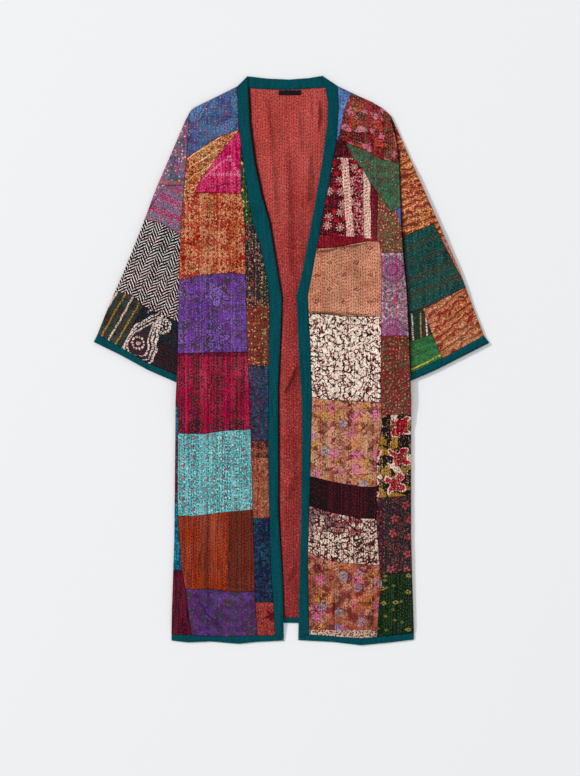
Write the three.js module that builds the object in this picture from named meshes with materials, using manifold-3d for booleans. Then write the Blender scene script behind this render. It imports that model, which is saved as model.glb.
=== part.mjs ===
// A patchwork kimono coat in hand-quilted cotton, laid flat and face up, open down the front.
// Units are millimetres. X runs across the coat, Y runs from hem to neck and Z is up.
// The origin is on the surface under the middle of the laid coat.
// Right and left are the wearer's, so the right side of the coat lies towards -X.
import * as THREE from "three";
import { mergeVertices } from "three/addons/utils/BufferGeometryUtils.js";
import Module from "manifold-3d";

const wasm = await Module();
wasm.setup();

// Driving dimensions of the cloth.
const SEAM_GAP = 0.3;
const BACK_WALL = 2;
const PANEL_WALL = 1.2;
const PATCH_WALL = 1;
const BINDING_WALL = 2.9;
const LABEL_WALL = 0.8;

// A sleeve is a flat tube: two walls with a little air between them. Its cuff binding is thicker.
const SLEEVE_WALL = 1.2;
const SLEEVE_STACK = 3;
const CUFF_WALL = 1.6;
const CUFF_STACK = 4.8;

// Below the underarm each sleeve is tucked under the side of the body, which lies over it.
const TUCK = { lift: CUFF_STACK + 0.5, inner: 152, full: 195, top: 292, bottom: -78, ramp: 84 };

// Lines of the grid that every layer shares, so that layers stay parallel where they lie on each other.
const COLUMN_STEP = 30;
const ROW_STEP = 40;
const HALF_WIDTH = 420;
const BACK_END = -552;
const FRONT_END = -577;
const GRID_END = -602;
const GRID_TOP = 604;
const columnLines = steps(-HALF_WIDTH, HALF_WIDTH, COLUMN_STEP);
const rowLines = [GRID_END, FRONT_END, ...steps(BACK_END, GRID_TOP, ROW_STEP)];

// Prisms that cut the cloth reach past every layer, and the bore of a tube reaches past its open ends.
const CUT_LOW = -5;
const CUT_HIGH = 60;
const MOUTH_REACH = 7;

// Sides closer to parallel than this share a corner, and points nearer than the other are one.
const PARALLEL = 1e-3;
const SAME_POINT = 1e-4;

// The first part of each fold of the back lies flat on the surface.
const FOLD_REST = 1;

// Soft folds, each a ridge along a line: where it starts and ends, its half width and its rise.
const BACK_FOLDS = [
  { x1: 62, y1: 545, x2: 60, y2: 470, half: 26, rise: 3.5 },
  { x1: -38, y1: 500, x2: -30, y2: 250, half: 30, rise: 2.5 },
  { x1: 26, y1: 450, x2: 12, y2: 230, half: 28, rise: 3 },
  { x1: 12, y1: 0, x2: -14, y2: -70, half: 24, rise: 2.5 },
  { x1: 2, y1: -160, x2: -4, y2: -330, half: 26, rise: 2 },
  { x1: 4, y1: -400, x2: -2, y2: -500, half: 26, rise: 2.5 },
];
const FRONT_FOLDS = [
  { x1: -165, y1: 505, x2: -118, y2: 380, half: 34, rise: 3 },
  { x1: -190, y1: 300, x2: -150, y2: 215, half: 36, rise: 2.6 },
  { x1: -196, y1: 110, x2: -118, y2: 84, half: 34, rise: 2.4 },
  { x1: -170, y1: -28, x2: -150, y2: -120, half: 36, rise: 2.8 },
  { x1: -205, y1: -236, x2: -112, y2: -226, half: 38, rise: 3.2 },
  { x1: -132, y1: -345, x2: -140, y2: -455, half: 30, rise: 3.4 },
  { x1: -196, y1: -525, x2: -104, y2: -520, half: 28, rise: 1.8 },
  { x1: 150, y1: 500, x2: 120, y2: 445, half: 34, rise: 2.6 },
  { x1: 152, y1: 370, x2: 120, y2: 275, half: 34, rise: 2.6 },
  { x1: 76, y1: 196, x2: 170, y2: 176, half: 34, rise: 3 },
  { x1: 84, y1: 20, x2: 150, y2: -34, half: 36, rise: 2.8 },
  { x1: 80, y1: -146, x2: 148, y2: -206, half: 36, rise: 3.2 },
  { x1: 150, y1: -346, x2: 92, y2: -400, half: 32, rise: 3 },
  { x1: 72, y1: -462, x2: 96, y2: -548, half: 28, rise: 3.8 },
  { x1: 152, y1: -510, x2: 166, y2: -560, half: 24, rise: 3.2 },
  { x1: 222, y1: 160, x2: 224, y2: -60, half: 28, rise: 2 },
  { x1: 218, y1: -180, x2: 214, y2: -420, half: 28, rise: 2.4 },
];
const SLEEVE_FOLDS = [
  { x1: -252, y1: 420, x2: -292, y2: 300, half: 34, rise: 3.2 },
  { x1: -300, y1: 250, x2: -336, y2: 150, half: 34, rise: 3.6 },
  { x1: -318, y1: 110, x2: -352, y2: 52, half: 28, rise: 2.6 },
  { x1: 254, y1: 400, x2: 292, y2: 300, half: 34, rise: 3.2 },
  { x1: 306, y1: 250, x2: 338, y2: 150, half: 34, rise: 3.6 },
  { x1: 318, y1: 110, x2: 356, y2: 56, half: 28, rise: 2.6 },
];
const SLEEVE_FOLD_START = 246;

// Seam lines of the coat, each from neck or shoulder down to the hem.
const SHOULDER_RIGHT = [[-92, 597], [-114, 575], [-154, 555], [-180, 543], [-205, 530], [-213, 522]];
const SHOULDER_LEFT = [[64, 598], [97, 576], [140, 555], [167, 543], [190, 530], [203, 518], [209, 512]];
const ARMHOLE_RIGHT = [[-213, 522], [-220, 425], [-227, 337], [-232, 264]];
const ARMHOLE_LEFT = [[209, 512], [215, 482], [225, 432], [228, 364], [230, 278]];
const SIDE_RIGHT = [[-232, 264], [-236, 171], [-238, 18], [-243, -83], [-246, -377], [-251, -524]];
const SIDE_LEFT = [[230, 278], [235, 211], [241, 144], [246, 49], [251, -83], [251, -373], [255, -513]];
const BAND_RIGHT_OUTER = [
  [-114, 575], [-111, 499], [-101, 415], [-90, 337], [-81, 289], [-63, 232], [-51, 169], [-46, 127],
  [-47, 33], [-49, -180], [-46, -324], [-43, -434], [-34, -577],
];
const BAND_RIGHT_INNER = [
  [-91, 572], [-88, 499], [-78, 419], [-63, 348], [-46, 289], [-27, 169], [-20, 131], [-22, 66],
  [-28, -60], [-27, -324], [-18, -474], [-16, -586],
];
const BAND_LEFT_OUTER = [
  [97, 576], [99, 530], [94, 457], [86, 413], [72, 337], [60, 280], [45, 192], [34, 135], [39, 39],
  [43, -83], [38, -293], [34, -413], [37, -575],
];
const BAND_LEFT_INNER = [
  [70, 573], [76, 541], [75, 497], [64, 415], [51, 339], [42, 289], [24, 192], [10, 135], [16, 1],
  [22, -93], [21, -293], [14, -534], [14, -585],
];
const NECK_TOP = [[-92, 597], [-49, 592], [-5, 590], [35, 593], [64, 598]];
const NECK_LOW = [[-91, 572], [-49, 569], [-5, 568], [35, 570], [70, 573]];
const LABEL_EDGE = [[-27, 567], [20, 567], [20, 556.5], [-27, 556.5]];
const BACK_HEM_TOP = [[-251, -541], [-120, -543], [0, -540], [130, -542], [255, -541]];
const BACK_HEM_LOW = [[-251, -551], [-120, -551], [0, -550], [130, -551], [255, -551]];
const HEM_RIGHT_TOP = [[-252, -575], [-207, -577], [-138, -580], [-70, -577], [-34, -577]];
const HEM_RIGHT_LOW = [[-252, -588], [-217, -592], [-169, -590], [-111, -595], [-73, -591], [-16, -588]];
const HEM_LEFT_TOP = [[37, -575], [108, -581], [148, -583], [184, -580], [257, -572]];
const HEM_LEFT_LOW = [[14, -587], [87, -591], [146, -598], [208, -592], [257, -586]];

// Each sleeve by its four sides in order: armhole, folded outer edge, mouth and folded tucked edge.
const SLEEVE_RIGHT = {
  armhole: [[-232, 264], [-227, 337], [-220, 425], [-213, 522]],
  outerFold: [[-222, 505], [-249, 442], [-285, 358], [-316, 274], [-350, 190], [-387, 106], [-407, 55]],
  mouth: [[-360, 28], [-301, -6], [-243, -30], [-216, -35]],
};
const SLEEVE_LEFT = {
  armhole: [[230, 278], [228, 364], [225, 432], [215, 482], [209, 512]],
  outerFold: [[222, 484], [259, 400], [295, 316], [333, 232], [352, 190], [383, 106], [404, 52]],
  mouth: [[359, 27], [318, 5], [253, -26], [218, -34]],
};
const CUFF_RIGHT = {
  sleeveSide: [[-216, -35], [-243, -30], [-301, -6], [-360, 28], [-407, 55]],
  edge: [[-415, 39], [-360, 12], [-301, -20], [-243, -45], [-215, -49]],
};
const CUFF_LEFT = {
  sleeveSide: [[218, -34], [253, -26], [318, 5], [359, 27], [404, 52]],
  edge: [[415, 37], [366, 12], [301, -21], [252, -42], [217, -48]],
};

// Patch columns of the fronts, and the seam lines that part the patches in them.
// Regions run on past the cloth, which cuts them off: to its sides, its shoulders, its hem and the cuffs.
const OUTSIDE = 300;
const ABOVE = 620;
const SEAM_END = -590;
const BELOW = -596;
const PAST_CUFF = 450;
const MAIN_RIGHT_OUTER = [
  [-OUTSIDE, 352], [-OUTSIDE, -60], [-238, -100], [-239, -299], [-235, -373], [-230, -440], [-222, -480],
  [-208, SEAM_END],
];
const MAIN_RIGHT_INNER = [
  [-112, 486], [-107, 448], [-105, 350], [-98, 289], [-95, 131], [-92, 20], [-85, -144], [-81, -314],
  [-77, -482], [-71, SEAM_END],
];
const MAIN_LEFT_OUTER = [
  [182, 262], [184, 249], [189, 211], [188, 91], [187, -83], [190, -133], [179, -201], [178, -333],
  [185, -432], [191, -469], [184, -503], [179, SEAM_END],
];
const SEAMS_RIGHT = {
  shoulder: [[-OUTSIDE, 425], [-220, 425], [-188, 447], [-155, 467], [-111, 484], [-60, 500]],
  yokeLow: [[-OUTSIDE, 336], [-228, 343], [-202, 352], [-104, 350], [0, 350]],
  brocadeLow: [[-OUTSIDE, 169], [-231, 169], [-191, 178], [-127, 184], [-96, 180], [0, 180]],
  purpleLow: [[-OUTSIDE, 12], [-180, 16], [0, 20]],
  wineLow: [[-OUTSIDE, -152], [-185, -154], [-138, -147], [0, -140]],
  aquaLow: [[-OUTSIDE, -324], [-209, -327], [-153, -320], [-81, -313], [0, -310]],
  tangerineLow: [[-OUTSIDE, -481], [-165, -479], [-113, -486], [0, -480]],
  end: [[-OUTSIDE, BELOW], [0, BELOW]],
};
const SEAMS_LEFT = {
  floralLow: [[30, 234], [95, 237], [122, 243], [159, 250], [184, 249], [OUTSIDE, 249]],
  salmonLow: [[0, 104], [36, 100], [123, 92], [OUTSIDE, 92]],
  vineLow: [[0, -66], [65, -82], [187, -88], [OUTSIDE, -88]],
  peachLow: [[0, -240], [40, -243], [87, -255], [148, -265], [OUTSIDE, -267]],
  barLow: [[0, -303], [40, -306], [87, -320], [143, -331], [OUTSIDE, -336]],
  vineTwoLow: [[0, -396], [37, -402], [66, -417], [116, -425], [184, -430], [OUTSIDE, -432]],
  end: [[0, BELOW], [OUTSIDE, BELOW]],
};

// Patches of the right front, each with its colour and the region that it fills.
const PATCHES_FRONT_RIGHT = [
  {
    name: "patch_blue_paisley",
    colour: 0x4d587f,
    regions: [between([[-OUTSIDE, ABOVE], [0, ABOVE]], SEAMS_RIGHT.shoulder)],
  },
  {
    name: "patch_apricot_floral",
    colour: 0xb1554a,
    regions: [[
      [-60, 500], [-111, 484], [-155, 467], [-188, 447], [-220, 425], [-OUTSIDE, 425], [-OUTSIDE, 336],
      [-228, 343], [-202, 352], [-195, 371], [-161, 419], [-128, 461], [-112, 479], [-60, 490],
    ]],
  },
  {
    name: "patch_magenta_dots",
    colour: 0xbe1e5f,
    regions: [[
      [-112, 479], [-128, 461], [-161, 419], [-195, 371], [-202, 352], [-105, 350], [-107, 448],
      [-60, 448], [-60, 490],
    ]],
  },
  { name: "patch_gold_brocade", colour: 0x9d4a36, regions: mainRight("yokeLow", "brocadeLow") },
  { name: "patch_purple", colour: 0x5d3e78, regions: mainRight("brocadeLow", "purpleLow") },
  { name: "patch_wine_ikat", colour: 0x791534, regions: mainRight("purpleLow", "wineLow") },
  { name: "patch_aqua", colour: 0x709da0, regions: mainRight("wineLow", "aquaLow") },
  { name: "patch_tangerine", colour: 0x872b1a, regions: mainRight("aquaLow", "tangerineLow") },
  { name: "patch_violet_low", colour: 0x552b4f, regions: mainRight("tangerineLow", "end") },
  { name: "patch_side_teal", colour: 0x084f67, regions: sideRight(-90, -440) },
  { name: "patch_side_burgundy", colour: 0x4d1225, regions: sideRight(-440, BELOW) },
  { name: "patch_inner_green", colour: 0x394f32, regions: innerRight(447, 289) },
  { name: "patch_inner_navy", colour: 0x4b3434, regions: innerRight(289, 114) },
  { name: "patch_inner_brown", colour: 0x6d3c32, regions: innerRight(114, -12) },
  { name: "patch_inner_violet", colour: 0x37374a, regions: innerRight(-12, -169) },
  { name: "patch_inner_rust", colour: 0x925750, regions: innerRight(-169, -331) },
  { name: "patch_inner_blue", colour: 0x373c5c, regions: innerRight(-331, -507) },
  { name: "patch_inner_brick", colour: 0x8a4438, regions: innerRight(-507, BELOW) },
];

// Patches of the left front.
const PATCHES_FRONT_LEFT = [
  {
    name: "patch_blue_neck",
    colour: 0x4c6d9a,
    regions: [[[60, ABOVE], [97, 576], [126, 561], [112, 528], [106, 499], [99, 462], [60, 461]]],
  },
  {
    name: "patch_crimson_floral",
    colour: 0x7e3e3e,
    regions: [[
      [97, 576], [100, ABOVE], [OUTSIDE, ABOVE], [OUTSIDE, 416], [219, 416], [189, 422], [153, 442],
      [101, 461], [99, 462], [106, 499], [112, 528], [126, 561],
    ]],
  },
  {
    name: "patch_green_gore",
    colour: 0x525a44,
    regions: [[
      [112, 457], [153, 442], [189, 422], [219, 416], [OUTSIDE, 416], [OUTSIDE, 320], [224, 320], [211, 309],
      [188, 341], [167, 369], [151, 399], [130, 418],
    ]],
  },
  {
    name: "patch_striped_floral",
    colour: 0x6e403d,
    regions: [[
      [0, 462], [99, 462], [112, 457], [130, 418], [151, 399], [167, 369], [182, 349], [178, 256], [184, 249],
      [159, 250], [122, 243], [95, 237], [30, 234], [0, 234],
    ]],
  },
  { name: "patch_salmon", colour: 0xb7795e, regions: mainLeft("floralLow", "salmonLow") },
  { name: "patch_cream_vine", colour: 0xb39a8d, regions: mainLeft("salmonLow", "vineLow") },
  { name: "patch_peach_print", colour: 0xa6735a, regions: mainLeft("vineLow", "peachLow") },
  { name: "patch_black_bar", colour: 0x2b1717, regions: mainLeft("peachLow", "barLow") },
  { name: "patch_cream_vine_low", colour: 0x916f64, regions: mainLeft("barLow", "vineTwoLow") },
  { name: "patch_peach_low", colour: 0x854e3d, regions: mainLeft("vineTwoLow", "end") },
  {
    name: "patch_outer_brown",
    colour: 0x614949,
    regions: [[
      [182, 349], [188, 341], [211, 309], [224, 320], [OUTSIDE, 320], [OUTSIDE, 226], [187, 226],
      [184, 249], [178, 256],
    ]],
  },
  {
    name: "patch_violet_rings",
    colour: 0x8d536d,
    regions: outerLeft([[100, 226], [OUTSIDE, 226]], [[100, 51], [OUTSIDE, 51]]),
  },
  {
    name: "patch_outer_maroon",
    colour: 0x6c362f,
    regions: outerLeft([[100, 51], [OUTSIDE, 51]], [[100, -114], [OUTSIDE, -114]]),
  },
  {
    name: "patch_rose",
    colour: 0x71462f,
    regions: outerLeft([[100, -114], [OUTSIDE, -114]], [[100, -294], [OUTSIDE, -280]]),
  },
  {
    name: "patch_navy_coral",
    colour: 0x492c2d,
    regions: outerLeft([[100, -294], [OUTSIDE, -280]], [[100, -463], [OUTSIDE, -434]]),
  },
  {
    name: "patch_forest_dots",
    colour: 0x20311b,
    regions: outerLeft([[100, -463], [OUTSIDE, -434]], [[100, BELOW], [OUTSIDE, BELOW]]),
  },
];

// Patches of the sleeves.
const PATCHES_SLEEVE_RIGHT = [
  {
    name: "patch_sleeve_paisley",
    colour: 0x986475,
    regions: [[
      [-180, 540], [-PAST_CUFF, 540], [-PAST_CUFF, 300], [-306, 303], [-266, 366], [-222, 366], [-180, 366],
    ]],
  },
  {
    name: "patch_sleeve_stripe",
    colour: 0x9a5a72,
    regions: [[
      [-180, 366], [-222, 366], [-266, 366], [-306, 303], [-PAST_CUFF, 300], [-320, 298], [-272, 288],
      [-234, 264], [-180, 246],
    ]],
  },
  {
    name: "patch_herringbone",
    colour: 0x6b6262,
    regions: [[
      [-180, 246], [-234, 264], [-272, 288], [-320, 298], [-PAST_CUFF, 300], [-PAST_CUFF, 143],
      [-360, 143], [-331, 135], [-310, 114], [-238, 81], [-180, 62],
    ]],
  },
  {
    name: "patch_sleeve_green",
    colour: 0x5c5d4f,
    regions: [[
      [-PAST_CUFF, 143], [-360, 143], [-331, 135], [-310, 114], [-323, 91], [-338, 60], [-360, 20],
      [-PAST_CUFF, 0],
    ]],
  },
  {
    name: "patch_sleeve_black",
    colour: 0x212126,
    regions: [[
      [-310, 114], [-238, 81], [-180, 62], [-180, -80], [-360, -80], [-360, 20], [-338, 60], [-323, 91],
    ]],
  },
];
const PATCHES_SLEEVE_LEFT = [
  {
    name: "patch_sleeve_pink",
    colour: 0x7e3e3e,
    regions: [[[180, 560], [320, 560], [320, 463], [180, 463]]],
  },
  {
    name: "patch_sleeve_orange",
    colour: 0xa26249,
    regions: [[
      [180, 463], [320, 463], [PAST_CUFF, 300], [PAST_CUFF, 160], [366, 154], [298, 286], [236, 261],
      [180, 240],
    ]],
  },
  {
    name: "patch_sleeve_teal",
    colour: 0x243d33,
    regions: [[[180, 240], [236, 261], [298, 286], [366, 154], [276, 108], [180, 90]]],
  },
  {
    name: "patch_sleeve_bars",
    colour: 0x3a5040,
    regions: [[[180, 90], [276, 108], [295, 55], [253, 41], [180, 30]]],
  },
  {
    name: "patch_sleeve_rust",
    colour: 0x9e593f,
    regions: [[[276, 108], [366, 154], [PAST_CUFF, 160], [PAST_CUFF, -20], [319, 0], [295, 55]]],
  },
  {
    name: "patch_sleeve_leaf",
    colour: 0x375f3d,
    regions: [[[180, 30], [253, 41], [295, 55], [319, 0], [319, -80], [180, -80]]],
  },
];

const CLOTH_ROUGHNESS = 0.9;
const TEAL = 0x024750;
const LINING = 0xa3403c;
const LABEL_BLACK = 0x141416;

// A list of values from one end to the other, an even step apart.
function steps(from, to, step) {
  const count = Math.round((to - from) / step);
  return Array.from({ length: count + 1 }, (_, i) => from + ((to - from) * i) / count);
}

// A closed outline from two lines that run the same way.
function between(one, other) {
  return [...one, ...[...other].reverse()];
}

// Regions of the patch grid: a column of a front and the stretch between two of its seams.
function mainRight(top, low) {
  return [between(MAIN_RIGHT_OUTER, MAIN_RIGHT_INNER), between(SEAMS_RIGHT[top], SEAMS_RIGHT[low])];
}

function levelsRight(top, low) {
  return [[-OUTSIDE, top], [0, top], [0, low], [-OUTSIDE, low]];
}

function sideRight(top, low) {
  return [between([[-OUTSIDE, SEAM_END]], MAIN_RIGHT_OUTER.slice(1)), levelsRight(top, low)];
}

function innerRight(top, low) {
  const inside = [[0, MAIN_RIGHT_INNER[0][1]], [0, SEAM_END]];
  return [between(MAIN_RIGHT_INNER, inside), levelsRight(top, low)];
}

function mainLeft(top, low) {
  const inside = [[0, MAIN_LEFT_OUTER[0][1]], [0, SEAM_END]];
  return [between(inside, MAIN_LEFT_OUTER), between(SEAMS_LEFT[top], SEAMS_LEFT[low])];
}

function outerLeft(top, low) {
  const outside = [[OUTSIDE, MAIN_LEFT_OUTER[0][1]], [OUTSIDE, SEAM_END]];
  return [between(MAIN_LEFT_OUTER, outside), between(top, low)];
}

// An outline with each side moved inwards by its own distance, or outwards where that is negative.
function inset(outline, distanceOf) {
  const points = outline.map(([x, y]) => new THREE.Vector2(x, y));
  const turn = THREE.ShapeUtils.area(points) > 0 ? 1 : -1;
  const sides = points.map((start, i) => {
    const along = points[(i + 1) % points.length].clone().sub(start).normalize();
    const inward = new THREE.Vector2(-along.y, along.x).multiplyScalar(turn);
    return { start: start.clone().addScaledVector(inward, distanceOf(i)), along };
  });
  return sides.map((side, i) => {
    const before = sides[(i + sides.length - 1) % sides.length];
    const cross = before.along.cross(side.along);
    if (Math.abs(cross) < PARALLEL) return side.start;
    const reach = side.start.clone().sub(before.start).cross(side.along) / cross;
    return before.start.clone().addScaledVector(before.along, reach);
  });
}

// A manifold solid of a closed three.js geometry.
function solidOf(geometry) {
  geometry.deleteAttribute("normal");
  geometry.deleteAttribute("uv");
  const merged = mergeVertices(geometry, SAME_POINT);
  return new wasm.Manifold(
    new wasm.Mesh({
      numProp: 3,
      vertProperties: new Float32Array(merged.attributes.position.array),
      triVerts: new Uint32Array(merged.index.array),
    }),
  );
}

// An upright prism over an outline, tall enough to cut every layer.
function prism(points) {
  const geometry = new THREE.ExtrudeGeometry(new THREE.Shape(points), {
    depth: CUT_HIGH - CUT_LOW,
    bevelEnabled: false,
  });
  return solidOf(geometry.translate(0, 0, CUT_LOW));
}

// The grid lines that hold all of some values between them.
function linesAround(lines, values) {
  const first = lines.findLastIndex((line) => line <= Math.min(...values));
  const last = lines.findIndex((line) => line >= Math.max(...values));
  return lines.slice(Math.max(first, 0), (last < 0 ? lines.length : last) + 1);
}

// A slab of the shared grid over an outline's box, between two surfaces, cut to the outline.
function slab(points, lowAt, highAt) {
  const xs = linesAround(columnLines, points.map((point) => point.x));
  const ys = linesAround(rowLines, points.map((point) => point.y));
  const positions = [];
  for (const surface of [lowAt, highAt]) {
    for (const y of ys) for (const x of xs) positions.push(x, y, surface(x, y));
  }
  const top = xs.length * ys.length;
  const at = (column, row) => row * xs.length + column;
  const faces = [];
  for (let row = 0; row + 1 < ys.length; row += 1) {
    for (let column = 0; column + 1 < xs.length; column += 1) {
      const [a, b] = [at(column, row), at(column + 1, row)];
      const [c, d] = [at(column + 1, row + 1), at(column, row + 1)];
      faces.push(top + a, top + b, top + c, top + a, top + c, top + d);
      faces.push(a, c, b, a, d, c);
    }
  }
  const rim = [
    ...xs.map((_, column) => at(column, 0)),
    ...ys.slice(1).map((_, row) => at(xs.length - 1, row + 1)),
    ...xs.slice(1).map((_, column) => at(xs.length - 2 - column, ys.length - 1)),
    ...ys.slice(2).map((_, row) => at(0, ys.length - 2 - row)),
  ];
  rim.forEach((a, i) => {
    const b = rim[(i + 1) % rim.length];
    faces.push(a, b, top + b, a, top + b, top + a);
  });
  const geometry = new THREE.BufferGeometry();
  geometry.setAttribute("position", new THREE.Float32BufferAttribute(positions, 3));
  geometry.setIndex(faces);
  return solidOf(geometry).intersect(prism(points));
}

// How high the soft folds of a table stand at a point.
function foldRise(folds, x, y) {
  return folds.reduce((sum, { x1, y1, x2, y2, half, rise }) => {
    const along = ((x - x1) * (x2 - x1) + (y - y1) * (y2 - y1)) / ((x2 - x1) ** 2 + (y2 - y1) ** 2);
    const t = THREE.MathUtils.clamp(along, 0, 1);
    const away = Math.hypot(x - x1 - t * (x2 - x1), y - y1 - t * (y2 - y1));
    return sum + rise * Math.exp(-((away / half) ** 2));
  }, 0);
}

// How far the body is lifted by the sleeve that is tucked under its side.
function tuckLift(x, y) {
  const across = THREE.MathUtils.smoothstep(Math.abs(x), TUCK.inner, TUCK.full);
  const above = 1 - THREE.MathUtils.smoothstep(y, TUCK.top, TUCK.top + TUCK.ramp);
  const below = THREE.MathUtils.smoothstep(y, TUCK.bottom - TUCK.ramp, TUCK.bottom);
  return TUCK.lift * across * above * below;
}

const onFloor = () => 0;
const backUnder = (x, y) => tuckLift(x, y) + Math.max(foldRise(BACK_FOLDS, x, y) - FOLD_REST, 0);
const backTop = (x, y) => backUnder(x, y) + BACK_WALL;
const frontUnder = (x, y) => (y < BACK_END ? 0 : backTop(x, y) + SEAM_GAP + foldRise(FRONT_FOLDS, x, y));
const sleeveTop = (x, y) => {
  const free = THREE.MathUtils.smoothstep(Math.abs(x), SLEEVE_FOLD_START, SLEEVE_FOLD_START + COLUMN_STEP);
  return SLEEVE_STACK + free * foldRise(SLEEVE_FOLDS, x, y);
};

// Cloth of one wall over a surface, cut to an outline that leaves half a seam gap all round.
function cloth(outline, under, wall) {
  const points = inset(outline, () => SEAM_GAP / 2);
  return slab(points, under, (x, y) => under(x, y) + wall);
}

// A flat tube that is open along the sides that isOpen picks, and folded along the rest.
function flatTube(outline, isOpen, top, wall) {
  const outer = slab(inset(outline, () => SEAM_GAP / 2), onFloor, top);
  const bore = slab(
    inset(outline, (i) => (isOpen(i) ? -MOUTH_REACH : wall)),
    () => wall,
    (x, y) => top(x, y) - wall,
  );
  return outer.subtract(bore);
}

function sleeve({ armhole, outerFold, mouth }) {
  const outline = [...armhole, ...outerFold, ...mouth];
  const mouthStart = armhole.length + outerFold.length - 1;
  const isOpen = (i) => i < armhole.length - 1 || (i >= mouthStart && i < outline.length - 1);
  return flatTube(outline, isOpen, sleeveTop, SLEEVE_WALL);
}

function cuff({ sleeveSide, edge }) {
  const outline = [...sleeveSide, ...edge];
  const isOpen = (i) => i !== sleeveSide.length - 1 && i !== outline.length - 1;
  return flatTube(outline, isOpen, () => CUFF_STACK, CUFF_WALL);
}

// Patches: the panel's own surface moved out by a seam gap, cut to each patch's region.
function patchesOn(outline, base, patches) {
  const skin = cloth(outline, (x, y) => base(x, y) + SEAM_GAP, PATCH_WALL);
  const cutTo = (piece, region) => piece.intersect(prism(inset(region, () => SEAM_GAP / 2)));
  return patches.map(({ name, colour, regions }) => meshOf(name, regions.reduce(cutTo, skin), colour));
}

// A named mesh of a finished solid.
function meshOf(name, solid, colour) {
  const { vertProperties, triVerts } = solid.getMesh();
  const geometry = new THREE.BufferGeometry();
  geometry.setAttribute("position", new THREE.Float32BufferAttribute(vertProperties, 3));
  geometry.setIndex(new THREE.Uint32BufferAttribute(triVerts, 1));
  geometry.computeVertexNormals();
  const finish = { color: colour, roughness: CLOTH_ROUGHNESS, metalness: 0 };
  const material = new THREE.MeshStandardMaterial(finish);
  const mesh = new THREE.Mesh(geometry, material);
  mesh.name = name;
  return mesh;
}

// Outlines of the panels, each round its own seams.
const backOutline = [
  ...between([...SHOULDER_RIGHT, ...ARMHOLE_RIGHT.slice(1), ...SIDE_RIGHT.slice(1), ...BACK_HEM_TOP],
    [...SHOULDER_LEFT, ...ARMHOLE_LEFT.slice(1), ...SIDE_LEFT.slice(1)]),
  ...[...NECK_LOW].reverse(),
];
const frontRightOutline = between(
  [...SHOULDER_RIGHT.slice(1), ...ARMHOLE_RIGHT.slice(1), ...SIDE_RIGHT.slice(1), ...HEM_RIGHT_TOP],
  BAND_RIGHT_OUTER.slice(1, -1),
);
const frontLeftOutline = between(
  [...BAND_LEFT_OUTER.slice(0, -1), ...HEM_LEFT_TOP],
  [...SHOULDER_LEFT.slice(2), ...ARMHOLE_LEFT.slice(1), ...SIDE_LEFT.slice(1)],
);
const bandRightOutline = [SHOULDER_RIGHT[0], ...between(BAND_RIGHT_OUTER, BAND_RIGHT_INNER)];
const bandLeftOutline = [SHOULDER_LEFT[0], ...between(BAND_LEFT_OUTER, BAND_LEFT_INNER)];
const bandBackOutline = between(NECK_TOP, NECK_LOW);
const sleeveRightOutline = [...SLEEVE_RIGHT.armhole, ...SLEEVE_RIGHT.outerFold, ...SLEEVE_RIGHT.mouth];
const sleeveLeftOutline = [...SLEEVE_LEFT.armhole, ...SLEEVE_LEFT.outerFold, ...SLEEVE_LEFT.mouth];

const panelTop = (x, y) => frontUnder(x, y) + PANEL_WALL;

const coat = new THREE.Group();
coat.add(
  meshOf("back", cloth(backOutline, backUnder, BACK_WALL), LINING),
  meshOf("hem_back", cloth(between(BACK_HEM_TOP, BACK_HEM_LOW), backUnder, BACK_WALL), TEAL),
  meshOf("neckband_back", cloth(bandBackOutline, backUnder, BINDING_WALL), TEAL),
  meshOf("label", cloth(LABEL_EDGE, (x, y) => backTop(x, y) + SEAM_GAP, LABEL_WALL), LABEL_BLACK),
  meshOf("front_right", cloth(frontRightOutline, frontUnder, PANEL_WALL), LINING),
  meshOf("front_left", cloth(frontLeftOutline, frontUnder, PANEL_WALL), LINING),
  meshOf("neckband_right", cloth(bandRightOutline, frontUnder, BINDING_WALL), TEAL),
  meshOf("neckband_left", cloth(bandLeftOutline, frontUnder, BINDING_WALL), TEAL),
  meshOf("hem_front_right", cloth(between(HEM_RIGHT_TOP, HEM_RIGHT_LOW), frontUnder, BINDING_WALL), TEAL),
  meshOf("hem_front_left", cloth(between(HEM_LEFT_TOP, HEM_LEFT_LOW), frontUnder, BINDING_WALL), TEAL),
  meshOf("sleeve_right", sleeve(SLEEVE_RIGHT), LINING),
  meshOf("sleeve_left", sleeve(SLEEVE_LEFT), LINING),
  meshOf("cuff_right", cuff(CUFF_RIGHT), TEAL),
  meshOf("cuff_left", cuff(CUFF_LEFT), TEAL),
  ...patchesOn(frontRightOutline, panelTop, PATCHES_FRONT_RIGHT),
  ...patchesOn(frontLeftOutline, panelTop, PATCHES_FRONT_LEFT),
  ...patchesOn(sleeveRightOutline, sleeveTop, PATCHES_SLEEVE_RIGHT),
  ...patchesOn(sleeveLeftOutline, sleeveTop, PATCHES_SLEEVE_LEFT),
);

export default coat;
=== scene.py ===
"""Finish of a patchwork kimono coat in hand-quilted cotton, laid flat and face up.

Tables are in millimetres, as a maker's are, and MM turns them into metres. X runs across the coat, Y from
hem to neck and Z is up. Right and left are the wearer's, so the right side of the coat lies towards -X.
"""

from __future__ import annotations

import logging
import math
from collections.abc import Callable, Sequence
from dataclasses import dataclass
from enum import Enum
from functools import partial, partialmethod

import bpy
import numpy as np
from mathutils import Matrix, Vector
from mathutils.geometry import delaunay_2d_cdt

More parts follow.
